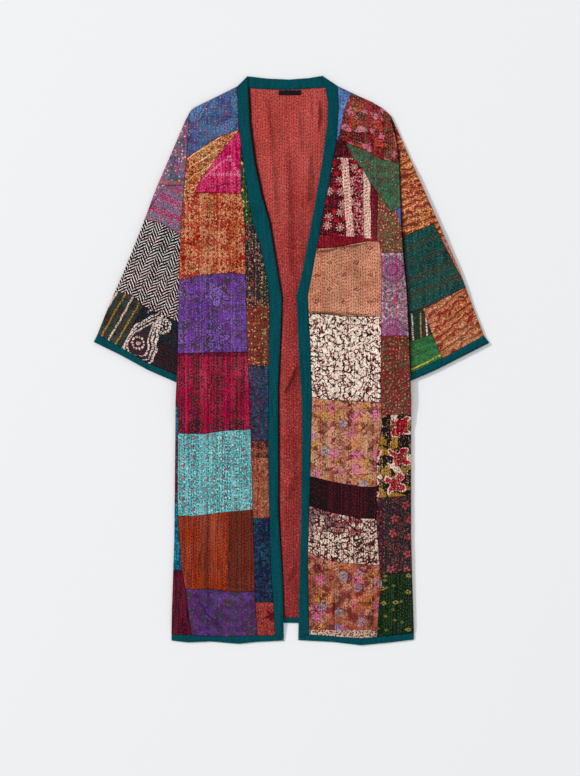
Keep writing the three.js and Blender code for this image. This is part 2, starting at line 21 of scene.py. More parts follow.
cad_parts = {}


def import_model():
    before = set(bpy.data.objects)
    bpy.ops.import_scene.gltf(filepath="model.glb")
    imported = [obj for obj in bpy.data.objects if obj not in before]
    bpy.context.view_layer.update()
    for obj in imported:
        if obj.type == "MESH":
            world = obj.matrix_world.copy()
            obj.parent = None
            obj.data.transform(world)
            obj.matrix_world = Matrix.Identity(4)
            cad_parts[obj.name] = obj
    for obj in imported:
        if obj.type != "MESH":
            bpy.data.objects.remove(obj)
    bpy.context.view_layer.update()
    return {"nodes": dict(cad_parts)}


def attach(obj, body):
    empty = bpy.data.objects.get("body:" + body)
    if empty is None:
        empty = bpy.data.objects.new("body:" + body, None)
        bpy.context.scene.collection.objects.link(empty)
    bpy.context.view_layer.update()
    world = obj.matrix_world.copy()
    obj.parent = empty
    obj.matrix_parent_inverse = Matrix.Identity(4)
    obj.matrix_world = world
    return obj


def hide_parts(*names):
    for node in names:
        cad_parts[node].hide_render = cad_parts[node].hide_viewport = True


LOG = logging.getLogger("kimono_coat")
MM = 0.001
BODY = "root"

# Walls and gaps of the layers, from the surface up.
SEAM_GAP = 0.3
BACK_WALL = 2.0
PANEL_WALL = 1.2
PATCH_WALL = 1.0
BINDING_WALL = 2.9
LABEL_WALL = 0.8
SLEEVE_WALL = 1.2
SLEEVE_STACK = 3.0
CUFF_WALL = 1.6
CUFF_STACK = 4.8

# Past the back's hem a front drops to the surface, and past an X the sleeves' own folds begin.
BACK_END = -552.0
FRONT_DROP = 25.0
SLEEVE_FOLDS_FROM = (246.0, 276.0)

# Hand quilting: rows of running stitch, sewn lengthwise through all layers.
ROW_PITCH = 5.0
STITCH_PITCH = 6.8
STITCH_LENGTH = 4.9
STITCH_WIDTH = 1.9
STITCH_RISE = 0.4
FURROW = 0.26
THREAD_SINK = 0.15

# A distance that counts as far from any edge and from any painted shade, and the steep side of a tuck that
# is sharp enough for a painted shadow at its foot.
FAR = 10.0
SHARP = 3.1

# The painted shadow at the foot of a sharp tuck: how it wavers, how wide it is and where it ends.
TUCK_SHADOW_WAVER = 1.1
TUCK_SHADOW_WAVE = 7.0
TUCK_SHADOW_WIDTH = 1.7
TUCK_SHADOW_END = 0.03

# How a quilted surface heaves by hand: height and length of its long and its short waves.
HEAVES = ((0.28, 38.0), (0.14, 14.0))
BINDING_HEAVES = ((0.16, 26.0), (0.08, 9.0))

# A cuff heaves in waves of one length.
CUFF_HEAVE = 0.15
CUFF_HEAVE_LENGTH = 24.0
CUFF_SEED = 77

# How many waves add up to unevenness, and how far their lengths vary.
UNEVEN_WAVES = 7
UNEVEN_LENGTHS = (0.7, 1.6)

# How a hand-sewn row strays sideways: how far, over which length, and its shift from row to row.
ROW_WAVERS = ((0.55, 47.0, 0.9), (0.35, 19.0, 2.3))

# Makes the numbers of rows that follow one another look random.
SCATTER = 43.7

# Points this near one another are one, and triangles this small are left out.
MERGE_WITHIN = 1e-4
TINY_TRIANGLE = 1e-7

Colour = tuple[int, int, int]
Point = tuple[float, float]
Values = np.ndarray
Surface = Callable[[Values, Values], Values]


def linear(colour: Colour) -> tuple[float, float, float, float]:
    """Turn a display colour of 0 to 255 into the linear colour that shaders take."""
    parts = [c / 255 for c in colour]
    return (*[p / 12.92 if p <= 0.04045 else ((p + 0.055) / 1.055) ** 2.4 for p in parts], 1.0)


def smoothstep(value: Values, low: float, high: float) -> Values:
    """Ease from 0 at low to 1 at high."""
    t = np.clip((value - low) / (high - low), 0, 1)
    return t * t * (3 - 2 * t)


def unevenness(x: Values, y: Values, size: float, seed: int) -> Values:
    """Give smooth hand-made unevenness of about -1 to 1.

    Args:
        x: Places across the coat.
        y: Places along the coat.
        size: Length of its waves.
        seed: Which unevenness, so that each use has its own.

    Returns:
        The unevenness at each place.
    """
    rng = np.random.default_rng(seed)
    total = np.zeros_like(x, dtype=float)
    for _ in range(UNEVEN_WAVES):
        heading = rng.uniform(0, math.pi)
        length = size * rng.uniform(*UNEVEN_LENGTHS)
        phase = rng.uniform(0, 2 * math.pi)
        total += np.sin((x * math.cos(heading) + y * math.sin(heading)) * 2 * math.pi / length + phase)
    return total / math.sqrt(UNEVEN_WAVES)


@dataclass(frozen=True)
class Fold:
    """A soft ridge along a line.

    The cloth falls away over `half` on both sides, or over `steep` on the side to the right of the line
    where the ridge is a tuck.
    """

    x1: float
    y1: float
    x2: float
    y2: float
    half: float
    rise: float
    steep: float | None = None

    def course(self, x: Values, y: Values) -> tuple[Values, Values]:
        """Give how far along the line each place is, 0 to 1 on it, and how far to its right."""
        dx, dy = self.x2 - self.x1, self.y2 - self.y1
        square = dx * dx + dy * dy
        along = ((x - self.x1) * dx + (y - self.y1) * dy) / square
        return along, ((x - self.x1) * dy - (y - self.y1) * dx) / math.sqrt(square)

    def height(self, x: Values, y: Values) -> Values:
        """Give the ridge's height at each place."""
        along, right = self.course(x, y)
        t = np.clip(along, 0, 1)
        away = np.hypot(x - self.x1 - t * (self.x2 - self.x1), y - self.y1 - t * (self.y2 - self.y1))
        if self.steep is None:
            return self.rise * np.exp(-((away / self.half) ** 2))
        fade = np.sin(t * math.pi) ** 0.5
        return self.rise * fade * np.exp(-((away / np.where(right > 0, self.steep, self.half)) ** 2))

    def foot(self, x: Values, y: Values) -> Values:
        """Give how far each place is from the painted shadow at the foot of a sharp tuck, or FAR where there
        is none.
        """
        if self.steep is None or self.steep > SHARP:
            return np.full_like(x, FAR)
        t, right = self.course(x, y)
        length = math.hypot(self.x2 - self.x1, self.y2 - self.y1)
        waved = right - self.steep + TUCK_SHADOW_WAVER * np.sin(t * length / TUCK_SHADOW_WAVE)
        on_it = (t > TUCK_SHADOW_END) & (t < 1 - TUCK_SHADOW_END)
        return np.where(on_it, np.abs(waved) - TUCK_SHADOW_WIDTH * np.sin(t * math.pi), FAR)


def fold_rise(folds: Sequence[Fold], x: Values, y: Values) -> Values:
    """Add up the heights of several folds."""
    return sum((fold.height(x, y) for fold in folds), np.zeros_like(x, dtype=float))


BACK_FOLDS = (
    Fold(62, 545, 60, 470, 26, 3.5),
    Fold(-38, 500, -30, 250, 30, 2.5),
    Fold(26, 450, 12, 230, 28, 3),
    Fold(12, 0, -14, -70, 24, 2.5),
    Fold(2, -160, -4, -330, 26, 2),
    Fold(4, -400, -2, -500, 26, 2.5),
)
FRONT_FOLDS = (
    Fold(-165, 505, -118, 380, 34, 3),
    Fold(-190, 300, -150, 215, 36, 2.6),
    Fold(-196, 110, -118, 84, 34, 2.4),
    Fold(-170, -28, -150, -120, 36, 2.8),
    Fold(-205, -236, -112, -226, 38, 3.2),
    Fold(-132, -345, -140, -455, 30, 3.4),
    Fold(-196, -525, -104, -520, 28, 1.8),
    Fold(150, 500, 120, 445, 34, 2.6),
    Fold(152, 370, 120, 275, 34, 2.6),
    Fold(76, 196, 170, 176, 34, 3),
    Fold(84, 20, 150, -34, 36, 2.8),
    Fold(80, -146, 148, -206, 36, 3.2),
    Fold(150, -346, 92, -400, 32, 3),
    Fold(72, -462, 96, -548, 28, 3.8),
    Fold(152, -510, 166, -560, 24, 3.2),
    Fold(222, 160, 224, -60, 28, 2),
    Fold(218, -180, 214, -420, 28, 2.4),
)
SLEEVE_FOLDS = (
    Fold(-252, 420, -292, 300, 34, 3.2),
    Fold(-300, 250, -336, 150, 34, 3.6),
    Fold(-318, 110, -352, 52, 28, 2.6),
    Fold(254, 400, 292, 300, 34, 3.2),
    Fold(306, 250, 338, 150, 34, 3.6),
    Fold(318, 110, 356, 56, 28, 2.6),
)

# Fine creases that the cloth has settled into, steep on one side where it lies in a tuck.
LINING_CREASES = (
    Fold(56, 478, 58, 550, 9, 5.6, 2.4),
    Fold(42, 494, 38, 562, 9, 4.0, 4.0),
    Fold(-40, 430, -56, 552, 12, 6.0, 6.0),
    Fold(18, 436, 12, 528, 12, 5.0, 6.0),
    Fold(32, 326, 38, 436, 12, 6.4, 5.0),
    Fold(-34, 286, -42, 430, 12, 7.0, 7.0),
    Fold(-4, 176, -12, 446, 17, 9.0, 9.0),
    Fold(-14, -540, -12, 176, 9, 7.0, 24.0),
    Fold(-18, -72, 13, -6, 9, 5.6, 3.0),
    Fold(-14, -300, 6, -236, 9, 4.6, 4.0),
    Fold(-12, -470, 8, -420, 9, 4.6, 3.6),
)
FRONT_CREASES = (
    Fold(-70, 380, -206, 352, 12, 2.1, 3.0),
    Fold(-182, 366, -196, 200, 10, 2.4, 4.0),
    Fold(-120, 330, -150, 250, 9, 2.1, 4.0),
    Fold(-130, 178, -122, 60, 10, 2.2, 4.0),
    Fold(-186, 150, -200, 40, 9, 2.2, 4.0),
    Fold(-150, 8, -190, -120, 8, 2.7, 3.0),
    Fold(-110, 0, -120, -120, 8, 2.1, 4.0),
    Fold(-196, -165, -120, -196, 12, 2.7, 4.0),
    Fold(-200, -250, -120, -290, 12, 2.7, 4.0),
    Fold(-186, -335, -190, -460, 7, 4.2, 2.0),
    Fold(-132, -335, -130, -480, 6, 3.6, 2.0),
    Fold(-196, -500, -150, -560, 10, 2.7, 3.0),
    Fold(-64, 240, -78, 120, 8, 1.8, 4.0),
    Fold(-68, -40, -70, -150, 8, 2.0, 4.0),
    Fold(-66, -350, -60, -480, 8, 2.0, 4.0),
    Fold(-222, -60, -224, -200, 9, 2.1, 4.0),
    Fold(-232, -300, -230, -420, 9, 2.1, 4.0),
    Fold(146, 560, 120, 470, 9, 2.2, 4.0),
    Fold(176, 520, 196, 440, 10, 2.2, 4.0),
    Fold(120, 400, 84, 260, 10, 1.8, 5.0),
    Fold(40, 227, 108, 238, 8, 4.5, 2.4),
    Fold(96, 239, 160, 246, 8, 4.5, 2.4),
    Fold(30, 106, 118, 97, 9, 6.0, 3.0),
    Fold(104, 103, 170, 95, 9, 4.8, 2.6),
    Fold(88, 200, 140, 130, 14, 1.8),
    Fold(60, 70, 120, -20, 12, 2.1, 5.0),
    Fold(150, 60, 130, -60, 11, 2.1, 5.0),
    Fold(46, -150, 96, -196, 8, 3.6, 3.0),
    Fold(96, -196, 132, -252, 8, 3.0, 3.0),
    Fold(170, -100, 130, -180, 11, 2.1, 5.0),
    Fold(52, -258, 90, -310, 10, 1.8, 5.0),
    Fold(60, -320, 66, -394, 8, 2.4, 4.0),
    Fold(150, -345, 120, -420, 10, 2.1, 5.0),
    Fold(37, -402, 75, -455, 8, 5.1, 2.0),
    Fold(37, -500, 75, -549, 8, 4.5, 2.0),
    Fold(84, -545, 88, -480, 8, 3.6, 2.4),
    Fold(135, -507, 172, -505, 7, 4.8, 1.8),
    Fold(172, -505, 160, -560, 6, 4.2, 2.0),
    Fold(92, -440, 140, -470, 12, 2.4, 5.0),
    Fold(214, 190, 226, 90, 9, 2.1, 4.0),
    Fold(210, 20, 206, -100, 9, 2.1, 4.0),
    Fold(226, -130, 214, -260, 9, 2.4, 4.0),
    Fold(208, -330, 226, -450, 9, 2.4, 4.0),
    Fold(214, -470, 210, -560, 9, 2.2, 4.0),
)
SLEEVE_CREASES = (
    Fold(-250, 440, -262, 330, 9, 2.6, 4.0),
    Fold(-262, 300, -300, 180, 10, 2.9, 4.0),
    Fold(-270, 220, -262, 120, 10, 2.2, 5.0),
    Fold(-330, 170, -350, 90, 8, 2.9, 3.5),
    Fold(-270, 60, -300, 10, 9, 2.2, 4.0),
    Fold(250, 420, 262, 320, 9, 2.6, 4.0),
    Fold(262, 280, 250, 150, 10, 2.9, 4.0),
    Fold(310, 240, 330, 170, 9, 2.9, 4.0),
    Fold(330, 140, 350, 70, 8, 2.9, 3.5),
    Fold(262, 60, 290, 0, 9, 1.9, 4.0),
)

# The sleeve tucked under each side of the body lifts it: how far, from which X to which, and along which Y.
TUCK_LIFT = CUFF_STACK + 0.5
TUCK_ACROSS = (152.0, 195.0)
TUCK_ALONG = (-78.0, 292.0)
TUCK_RAMP = 84.0

# Where a fold of the back only starts to leave the surface.
FOLD_REST = 1.0

# Inner edges of the two bands, from neck to hem, and how the open edges of the fronts stand off the lining.
BAND_RIGHT_INNER = (
    (-91, 572), (-88, 499), (-78, 419), (-63, 348), (-46, 289), (-27, 169), (-20, 131), (-22, 66),
    (-28, -60), (-27, -324), (-18, -474), (-16, -586),
)
BAND_LEFT_INNER = (
    (70, 573), (76, 541), (75, 497), (64, 415), (51, 339), (42, 289), (24, 192), (10, 135), (16, 1),
    (22, -93), (21, -293), (14, -534), (14, -585),
)
LAP_LIFT = 1.6
LAP_LEFT_SHARE = 0.5
LAP_REACH = 14.0
LAP_HEM = (-585.0, -520.0)
LAP_NECK = (520.0, 570.0)


class Drape:
    """How high each layer of the laid coat lies over the surface."""

    @staticmethod
    def edge_x(line: Sequence[Point], y: Values) -> Values:
        """Give where a band's inner edge crosses each height."""
        points = sorted((y_at, x_at) for x_at, y_at in line)
        return np.interp(y, [p[0] for p in points], [p[1] for p in points])

    @staticmethod
    def lap(x: Values, y: Values) -> Values:
        """Give how far the open edges of the fronts stand off the lining."""
        right = (x - Drape.edge_x(BAND_RIGHT_INNER, y)) / LAP_REACH
        left = (x - Drape.edge_x(BAND_LEFT_INNER, y)) / LAP_REACH
        ends = smoothstep(y, *LAP_HEM) * (1 - smoothstep(y, *LAP_NECK))
        return LAP_LIFT * ends * (np.exp(-(right**2)) + LAP_LEFT_SHARE * np.exp(-(left**2)))

    @staticmethod
    def back_under(x: Values, y: Values) -> Values:
        """Give the height of the back's lower face, over the sleeves that are tucked under its sides."""
        bottom, top = TUCK_ALONG
        above = 1 - smoothstep(y, top, top + TUCK_RAMP)
        below = smoothstep(y, bottom - TUCK_RAMP, bottom)
        lift = TUCK_LIFT * smoothstep(np.abs(x), *TUCK_ACROSS) * above * below
        return lift + np.maximum(fold_rise(BACK_FOLDS, x, y) - FOLD_REST, 0)

    @staticmethod
    def back_over(x: Values, y: Values) -> Values:
        """Give the height of the back's upper face, the lining, before it is quilted."""
        return Drape.back_under(x, y) + BACK_WALL

    @staticmethod
    def front_under(x: Values, y: Values) -> Values:
        """Give the height of a front's lower face, which drops to the surface past the back's hem."""
        laid = Drape.back_over(x, y) + SEAM_GAP + fold_rise(FRONT_FOLDS, x, y) + Drape.lap(x, y)
        return laid * (1 - np.clip((BACK_END - y) / FRONT_DROP, 0, 1))

    @staticmethod
    def front_over(x: Values, y: Values) -> Values:
        """Give the height of a front panel's upper face, which its patches lie on."""
        return Drape.front_under(x, y) + PANEL_WALL

    @staticmethod
    def sleeve_over(x: Values, y: Values) -> Values:
        """Give the height of a sleeve's upper face."""
        return SLEEVE_STACK + smoothstep(np.abs(x), *SLEEVE_FOLDS_FROM) * fold_rise(SLEEVE_FOLDS, x, y)

    @staticmethod
    def cuff_over(x: Values, y: Values) -> Values:
        """Give the height of a cuff's upper face."""
        return CUFF_STACK + CUFF_HEAVE * unevenness(x, y, CUFF_HEAVE_LENGTH, CUFF_SEED)


def raised(surface: Surface, by: float) -> Surface:
    """Move a surface up."""
    return lambda x, y: surface(x, y) + by


def heaved(base: Surface, heaves: Sequence[Point], seeds: Sequence[int]) -> Surface:
    """Lay hand-made unevenness over a surface: long waves and short ones, each with its seed."""
    (high, long), (low, short) = heaves
    one, other = seeds
    return lambda x, y: base(x, y) + (
        high * unevenness(x, y, long, one) + low * unevenness(x, y, short, other)
    )


class Thread(Enum):
    """Colours of the hand-quilting and sewing threads."""

    RED = (186, 44, 58)
    ROSE = (206, 104, 120)
    OLIVE = (104, 116, 74)
    GREEN = (66, 122, 86)
    CREAM = (226, 206, 184)
    DARK = (34, 24, 28)
    BLUE = (96, 142, 190)
    CYAN = (104, 176, 186)
    VIOLET = (150, 98, 164)
    TEAL = (10, 72, 80)
    MAROON = (112, 26, 40)
    TAN = (196, 142, 100)
    MOSS = (70, 72, 50)
    CLARET = (150, 34, 44)


class Motif(Enum):
    """Shapes that a print or a weave repeats. The value names the method of MotifRecipe that draws it."""

    FILL = "fill"
    DOT = "dot"
    RING = "ring"
    BLOSSOM = "blossom"
    ROSETTE = "rosette"
    DIAMOND = "diamond"
    BOTEH = "boteh"
    BOTEH_EDGE = "boteh_edge"
    LEAF = "leaf"
    STRIPE = "stripe"
    CHEVRON = "chevron"
    SQUIGGLE = "squiggle"
    TWIG = "twig"
    DASH = "dash"
    CHECK = "check"
    ARCS = "arcs"
    WREATH = "wreath"
    STREAK = "streak"
    MOTTLE = "mottle"


@dataclass(frozen=True)
class Window:
    """The stretch of a patch that a layer of its print fills. A lean moves it sideways with Y."""

    left: float = -1000.0
    right: float = 1000.0
    low: float = -1000.0
    high: float = 1000.0
    lean: float = 0.0


@dataclass(frozen=True)
class Layer:
    """One colour of a print and the motif that carries it.

    Pitch is the repeat and size the motif's own reach, line its stroke, count its petals or dots. Loose is
    how far cells stray from an even repeat, and low to high the share of the cells that have the motif. Turn
    is in degrees, wobble is how far the hand of the printer strays, and cover how thickly the colour lies.
    """

    motif: Motif
    colour: Colour
    pitch: float = 20.0
    size: float = 5.0
    line: float = 1.0
    count: float = 5.0
    loose: float = 0.0
    low: float = 0.0
    high: float = 1.0
    turn: float = 0.0
    at: Point = (0.0, 0.0)
    wobble: float = 1.2
    cover: float = 1.0
    window: Window | None = None


# A short name for the layer of each motif, in the order of Motif.
(
    fill, dot, ring, blossom, rosette, diamond, boteh, boteh_edge, leaf, stripe, chevron, squiggle, twig,
    dash, check, arcs, wreath, streak, mottle,
) = (partial(Layer, motif) for motif in Motif)


@dataclass(frozen=True)
class Print:
    """A printed or woven cotton: its ground, the layers over it, and the threads that quilt it."""

    ground: Colour
    layers: tuple[Layer, ...] = ()
    threads: tuple[Thread, ...] = (Thread.RED, Thread.OLIVE)
    fade: float = 0.5
    speckle: float = 0.5
    SPECK_PITCH = 4.6
    SPECK_SIZE = 1.3
    SPECK_SHIFT = (17.0, 9.0)

    def all_layers(self) -> tuple[Layer, ...]:
        """Give the layers, with the specks of quilting thread that lie over them all."""
        if not self.speckle:
            return self.layers
        across, along = self.SPECK_SHIFT
        return self.layers + tuple(
            dot(
                thread.value, self.SPECK_PITCH, self.SPECK_SIZE, loose=1.0, at=(across * index, along),
                low=0.5 * (index % 2), high=0.5 + 0.5 * (index % 2), cover=self.speckle,
            )
            for index, thread in enumerate(self.threads)
        )


T = Thread

PRINTS: dict[str, Print] = {
    "blue_paisley": Print((62, 98, 156), threads=(T.MAROON, T.GREEN), layers=(
        mottle((46, 72, 134), 26, 0.5), boteh((76, 122, 178), 70, 30, turn=30, at=(-142, 492), loose=0.1),
        boteh_edge((38, 50, 108), 70, 30, 2.6, turn=30, at=(-142, 492), loose=0.1),
        boteh_edge((40, 60, 116), 70, 20, 2.0, turn=30, at=(-142, 492), loose=0.1),
        dot((158, 50, 76), 5.2, 1.3, loose=0.8, high=0.5),
        dot((48, 92, 66), 5.6, 1.2, loose=0.8, low=0.5, high=0.85),
        dot((116, 160, 214), 6, 1.1, loose=0.9, high=0.35),
    )),
    "apricot_floral": Print((198, 104, 62), threads=(T.CLARET, T.OLIVE), layers=(
        mottle((220, 154, 100), 18, 0.5), blossom((142, 36, 28), 13, 4.6, loose=0.8, high=0.7),
        leaf((100, 104, 62), 10, 4, loose=0.9, high=0.5), squiggle((128, 34, 26), 10, line=1.6),
        stripe((232, 188, 138), 19, 2, turn=58, wobble=3, window=Window(-218, -150)),
        dot((238, 206, 160), 7.5, 1.3, loose=0.9, high=0.4),
    )),
    "magenta_dots": Print((210, 18, 94), threads=(T.MAROON, T.ROSE), layers=(
        streak((166, 12, 70), 5, 0.5), streak((218, 52, 118), 4, 0.3, at=(31, 0)),
        ring(
            (228, 128, 164), 9, 2.4, 2.2, turn=51, at=(-186, 383), window=Window(-192, -181, 380, 430, 1.25),
        ),
        ring(
            (228, 128, 164), 9, 2.4, 2.2, turn=152, at=(-131, 427),
            window=Window(-115, -104, 385, 430, -0.525),
        ),
        ring((228, 128, 164), 9, 2.4, 2.0, at=(0, 390), window=Window(-172, -113, 384, 396)),
    )),
    "gold_brocade": Print((146, 22, 18), threads=(T.CLARET, T.TAN), layers=(
        mottle((168, 48, 30), 30, 0.5), blossom((170, 62, 40), 37, 12, count=8, loose=0.35, wobble=2.5),
        rosette((226, 168, 118), 37, 13, 2.2, count=8, loose=0.35, wobble=2.5),
        rosette((230, 176, 128), 37, 7, 2.0, count=8, loose=0.35, wobble=2.5),
        dot((122, 20, 20), 37, 3.0, loose=0.35, wobble=2.5),
        leaf((204, 120, 74), 13, 5, loose=0.9, high=0.35), squiggle((204, 126, 80), 17, line=1.5),
        squiggle((96, 70, 36), 19, line=1.4, at=(60, 20)),
        dot((230, 180, 130), 8, 1.2, loose=1.0, high=0.35),
    )),
    "purple": Print((106, 66, 164), threads=(T.MAROON, T.MOSS, T.VIOLET), layers=(
        mottle((88, 54, 130), 26, 0.5), blossom((130, 92, 190), 92, 28, at=(-156, 140), wobble=3.0),
        rosette((40, 52, 58), 92, 29, 4.0, at=(-156, 140), wobble=3.0),
        rosette((50, 62, 68), 92, 14, 2.6, at=(-156, 140), wobble=3.5),
        squiggle((48, 60, 66), 28, line=3.0), leaf((46, 58, 62), 19, 6, loose=0.9, high=0.35),
        dot((64, 40, 100), 7, 1.4, loose=1.0, high=0.6), dot((140, 106, 200), 8, 1.3, loose=1.0, high=0.4),
    )),
    "wine_ikat": Print((182, 10, 68), threads=(T.DARK, T.RED), layers=(
        streak((140, 8, 50), 8, 0.5),
        check((34, 44, 42), 42, 15, 5.4, loose=0.12, at=(-200, -8), cover=0.85),
        arcs((44, 34, 40), 42, 17, 6, at=(-200, -140), window=Window(high=-104)),
        dot((40, 32, 38), 5, 1.7, loose=0.9, high=0.6), dot((58, 60, 54), 5.4, 1.5, loose=0.9, low=0.6),
        stripe((194, 12, 80), 42, 3.2, at=(-179, 0), wobble=3, cover=0.8),
        fill((52, 14, 34), window=Window(low=8), cover=0.7),
    )),
    "aqua": Print((120, 188, 192), threads=(T.TEAL, T.GREEN, T.CYAN), layers=(
        streak((96, 160, 166), 7, 0.45), leaf((62, 108, 120), 6.4, 2.8, loose=1.0, high=0.75),
        dot((184, 228, 228), 6, 1.4, loose=1.0, high=0.5),
        leaf((78, 104, 84), 21, 4.6, loose=0.5, at=(3, 3)), blossom((178, 76, 112), 21, 3.7, loose=0.5),
    )),
    "tangerine": Print((172, 58, 28), threads=(T.DARK, T.MOSS), layers=(
        streak((146, 44, 26), 8, 0.45), fill((114, 34, 24), window=Window(left=-131), cover=0.85),
        stripe((88, 24, 20), 7, 1.8, window=Window(left=-131)), dash((52, 46, 30), 5.6, 3.2, 1.4),
        fill((84, 26, 20), window=Window(-193, -184, lean=0.02), cover=0.5),
    )),
    "violet_low": Print((86, 52, 138), threads=(T.MAROON, T.MOSS), layers=(
        mottle((60, 38, 92), 18, 0.5), squiggle((46, 60, 62), 21, line=2.9),
        diamond((44, 58, 60), 30, 9, 2.4, loose=0.4, high=0.5),
        dot((106, 74, 162), 9, 1.6, loose=1.0, high=0.4), dot((110, 40, 88), 7, 1.2, loose=0.9, low=0.5),
    )),
    "side_teal": Print((0, 80, 112), threads=(T.TEAL, T.BLUE), layers=(
        squiggle((24, 150, 172), 10, line=2.0), fill((100, 20, 46), window=Window(low=-299, high=-156)),
        dash((56, 18, 34), 6, 3.6, 1.3, window=Window(low=-299, high=-156)),
        mottle((8, 56, 80), 14, 0.4, cover=0.6),
    )),
    "side_burgundy": Print((92, 16, 44), threads=(T.MAROON, T.DARK), layers=(
        streak((56, 8, 28), 7, 0.5), leaf((46, 30, 42), 11, 4, loose=0.9, high=0.5),
        dot((116, 28, 54), 8, 1.4, loose=0.8, high=0.4),
    )),
    "inner_green": Print((34, 72, 34), threads=(T.GREEN, T.MOSS), layers=(
        mottle((20, 46, 26), 16, 0.5), blossom((230, 192, 90), 15, 4.0, loose=0.8, high=0.6),
        dot((170, 56, 60), 8, 1.5, loose=0.9, high=0.45),
        dot((236, 218, 140), 7, 1.5, loose=0.9, low=0.5, high=0.9),
    )),
    "inner_navy": Print((44, 34, 50), threads=(T.MAROON, T.OLIVE), layers=(
        blossom((172, 54, 60), 17, 5.4, loose=0.8, high=0.6),
        leaf((92, 98, 66), 11, 4.4, loose=0.9, high=0.5),
        blossom((196, 144, 102), 14, 2.9, loose=0.9, low=0.4),
        dot((212, 162, 112), 6.4, 1.2, loose=0.9, high=0.5), squiggle((24, 20, 34), 12, line=1.6),
    )),
    "inner_brown": Print((122, 50, 38), threads=(T.CLARET, T.MOSS), layers=(
        blossom((186, 122, 80), 12, 4, loose=0.9, high=0.7),
        dot((154, 32, 44), 7, 1.9, loose=0.9, high=0.6), dot((92, 102, 60), 8, 1.7, loose=0.9, low=0.4),
        squiggle((64, 26, 24), 10, line=1.5), dot((220, 180, 132), 7, 1.2, loose=0.9, high=0.4),
    )),
    "inner_violet": Print((58, 38, 66), threads=(T.MAROON, T.TEAL), layers=(
        mottle((34, 58, 88), 14, 0.5), squiggle((20, 88, 112), 13, line=2.2),
        squiggle((38, 22, 44), 10, line=1.5, at=(44, 10)), dot((146, 48, 92), 9, 1.5, loose=0.9, high=0.4),
    )),
    "inner_rust": Print((158, 68, 52), threads=(T.MAROON, T.OLIVE), layers=(
        mottle((180, 102, 78), 14, 0.5), boteh_edge((108, 34, 28), 28, 10, 1.7, loose=0.3),
        squiggle((118, 34, 30), 10, line=1.4), dot((210, 142, 112), 7, 1.2, loose=0.9, high=0.5),
        mottle((84, 18, 28), 14, 0.7, window=Window(low=-205)),
    )),
    "inner_blue": Print((26, 34, 60), threads=(T.TEAL, T.DARK), layers=(
        mottle((36, 28, 76), 16, 0.5), squiggle((14, 82, 108), 15, line=2.2),
        squiggle((22, 22, 44), 11, line=1.6, at=(30, 30)), dot((70, 32, 70), 8, 1.4, loose=0.9, high=0.4),
    )),
    "inner_brick": Print((150, 62, 50), threads=(T.MAROON, T.CLARET), layers=(
        squiggle((108, 34, 32), 10, line=1.6), dot((186, 100, 82), 7, 1.3, loose=0.9, high=0.5),
        blossom((82, 16, 32), 60, 12, at=(-44, -536), wobble=3),
    )),
    "blue_neck": Print((88, 132, 186), threads=(T.MAROON, T.BLUE), layers=(
        mottle((66, 100, 154), 12, 0.5), dot((44, 64, 110), 6, 1.4, loose=0.8, high=0.6),
        dot((176, 84, 120), 8, 1.2, loose=0.8, high=0.3),
    )),
    "crimson_floral": Print((132, 26, 38), threads=(T.RED, T.OLIVE), layers=(
        mottle((84, 18, 26), 22, 0.5), leaf((206, 118, 140), 34, 17, loose=0.8, high=0.7, wobble=4),
        blossom((196, 84, 42), 44, 15, count=3, loose=0.5, wobble=4),
        arcs((140, 30, 40), 44, 13, 7, loose=0.5, wobble=4),
        blossom((198, 106, 136), 30, 8, loose=0.8, high=0.5, wobble=3),
        leaf((66, 80, 54), 14, 5.6, loose=0.9, high=0.5), squiggle((62, 14, 24), 19, line=2.0),
    )),
    "green_gore": Print((40, 104, 78), threads=(T.MAROON, T.GREEN), layers=(
        mottle((34, 72, 62), 12, 0.5), squiggle((94, 72, 44), 11, line=1.7),
        dot((112, 54, 44), 6, 1.4, loose=0.9, high=0.4), dot((84, 152, 120), 7, 1.2, loose=0.9, high=0.4),
        fill((62, 84, 176), window=Window(222, 250, 272, 345, 0.1)),
    )),
    "striped_floral": Print((48, 16, 22), threads=(T.RED, T.MAROON), layers=(
        blossom((212, 168, 156), 25, 9.6, count=9, loose=0.4, high=0.75),
        blossom((176, 20, 34), 20, 6.4, loose=0.7, high=0.6, at=(9, 9)),
        rosette((60, 20, 28), 25, 5, 1.6, count=9, loose=0.4), fill((34, 18, 22), window=Window(low=425)),
        fill((40, 14, 20), window=Window(131, 153, 258, 400), cover=0.9),
        squiggle((206, 150, 144), 8, line=2.0, window=Window(131, 153, 258, 402)),
        dot((190, 30, 48), 8, 2.4, loose=0.9, high=0.6, window=Window(131, 153, 258, 402)),
        fill((84, 20, 30), window=Window(167, 250, 220, 400)),
        fill((98, 18, 30), window=Window(low=220, high=262)),
        stripe((150, 26, 38), 6, 1.3, window=Window(low=220, high=262)),
        fill((228, 200, 180), window=Window(115, 131, 260, 424, -0.074)),
        fill((228, 200, 180), window=Window(153, 167, 256, 402, -0.02)),
        dash((188, 52, 60), 5, 3.4, 1.4, window=Window(115, 131, 260, 424, -0.074)),
        dash((88, 130, 96), 5, 3.4, 1.3, window=Window(153, 167, 256, 402, -0.02)),
    )),
    "salmon": Print((206, 142, 112), threads=(T.CLARET, T.MOSS), fade=0.35, speckle=0.3, layers=(
        mottle((188, 126, 98), 30, 0.45), diamond((104, 34, 42), 56, 4.8, 1.8, at=(80, 205), wobble=2.5),
        diamond((104, 34, 42), 56, 4.8, 1.8, at=(109, 179), wobble=2.5),
    )),
    "cream_vine": Print((248, 236, 218), threads=(T.MAROON, T.CREAM), fade=0.3, speckle=0.2, layers=(
        mottle((236, 214, 196), 18, 0.4), squiggle((140, 108, 100), 12, line=1.0, at=(90, 10)),
        twig((120, 12, 32), 13, line=2.8, loose=1.0, wobble=4),
        twig((26, 18, 20), 12.4, line=2.8, loose=1.0, at=(120, 40), wobble=4),
    )),
    "peach_print": Print((192, 134, 98), threads=(T.MAROON, T.OLIVE, T.ROSE), layers=(
        mottle((208, 158, 120), 24, 0.5), mottle((150, 82, 58), 22, 0.3, at=(30, 0)),
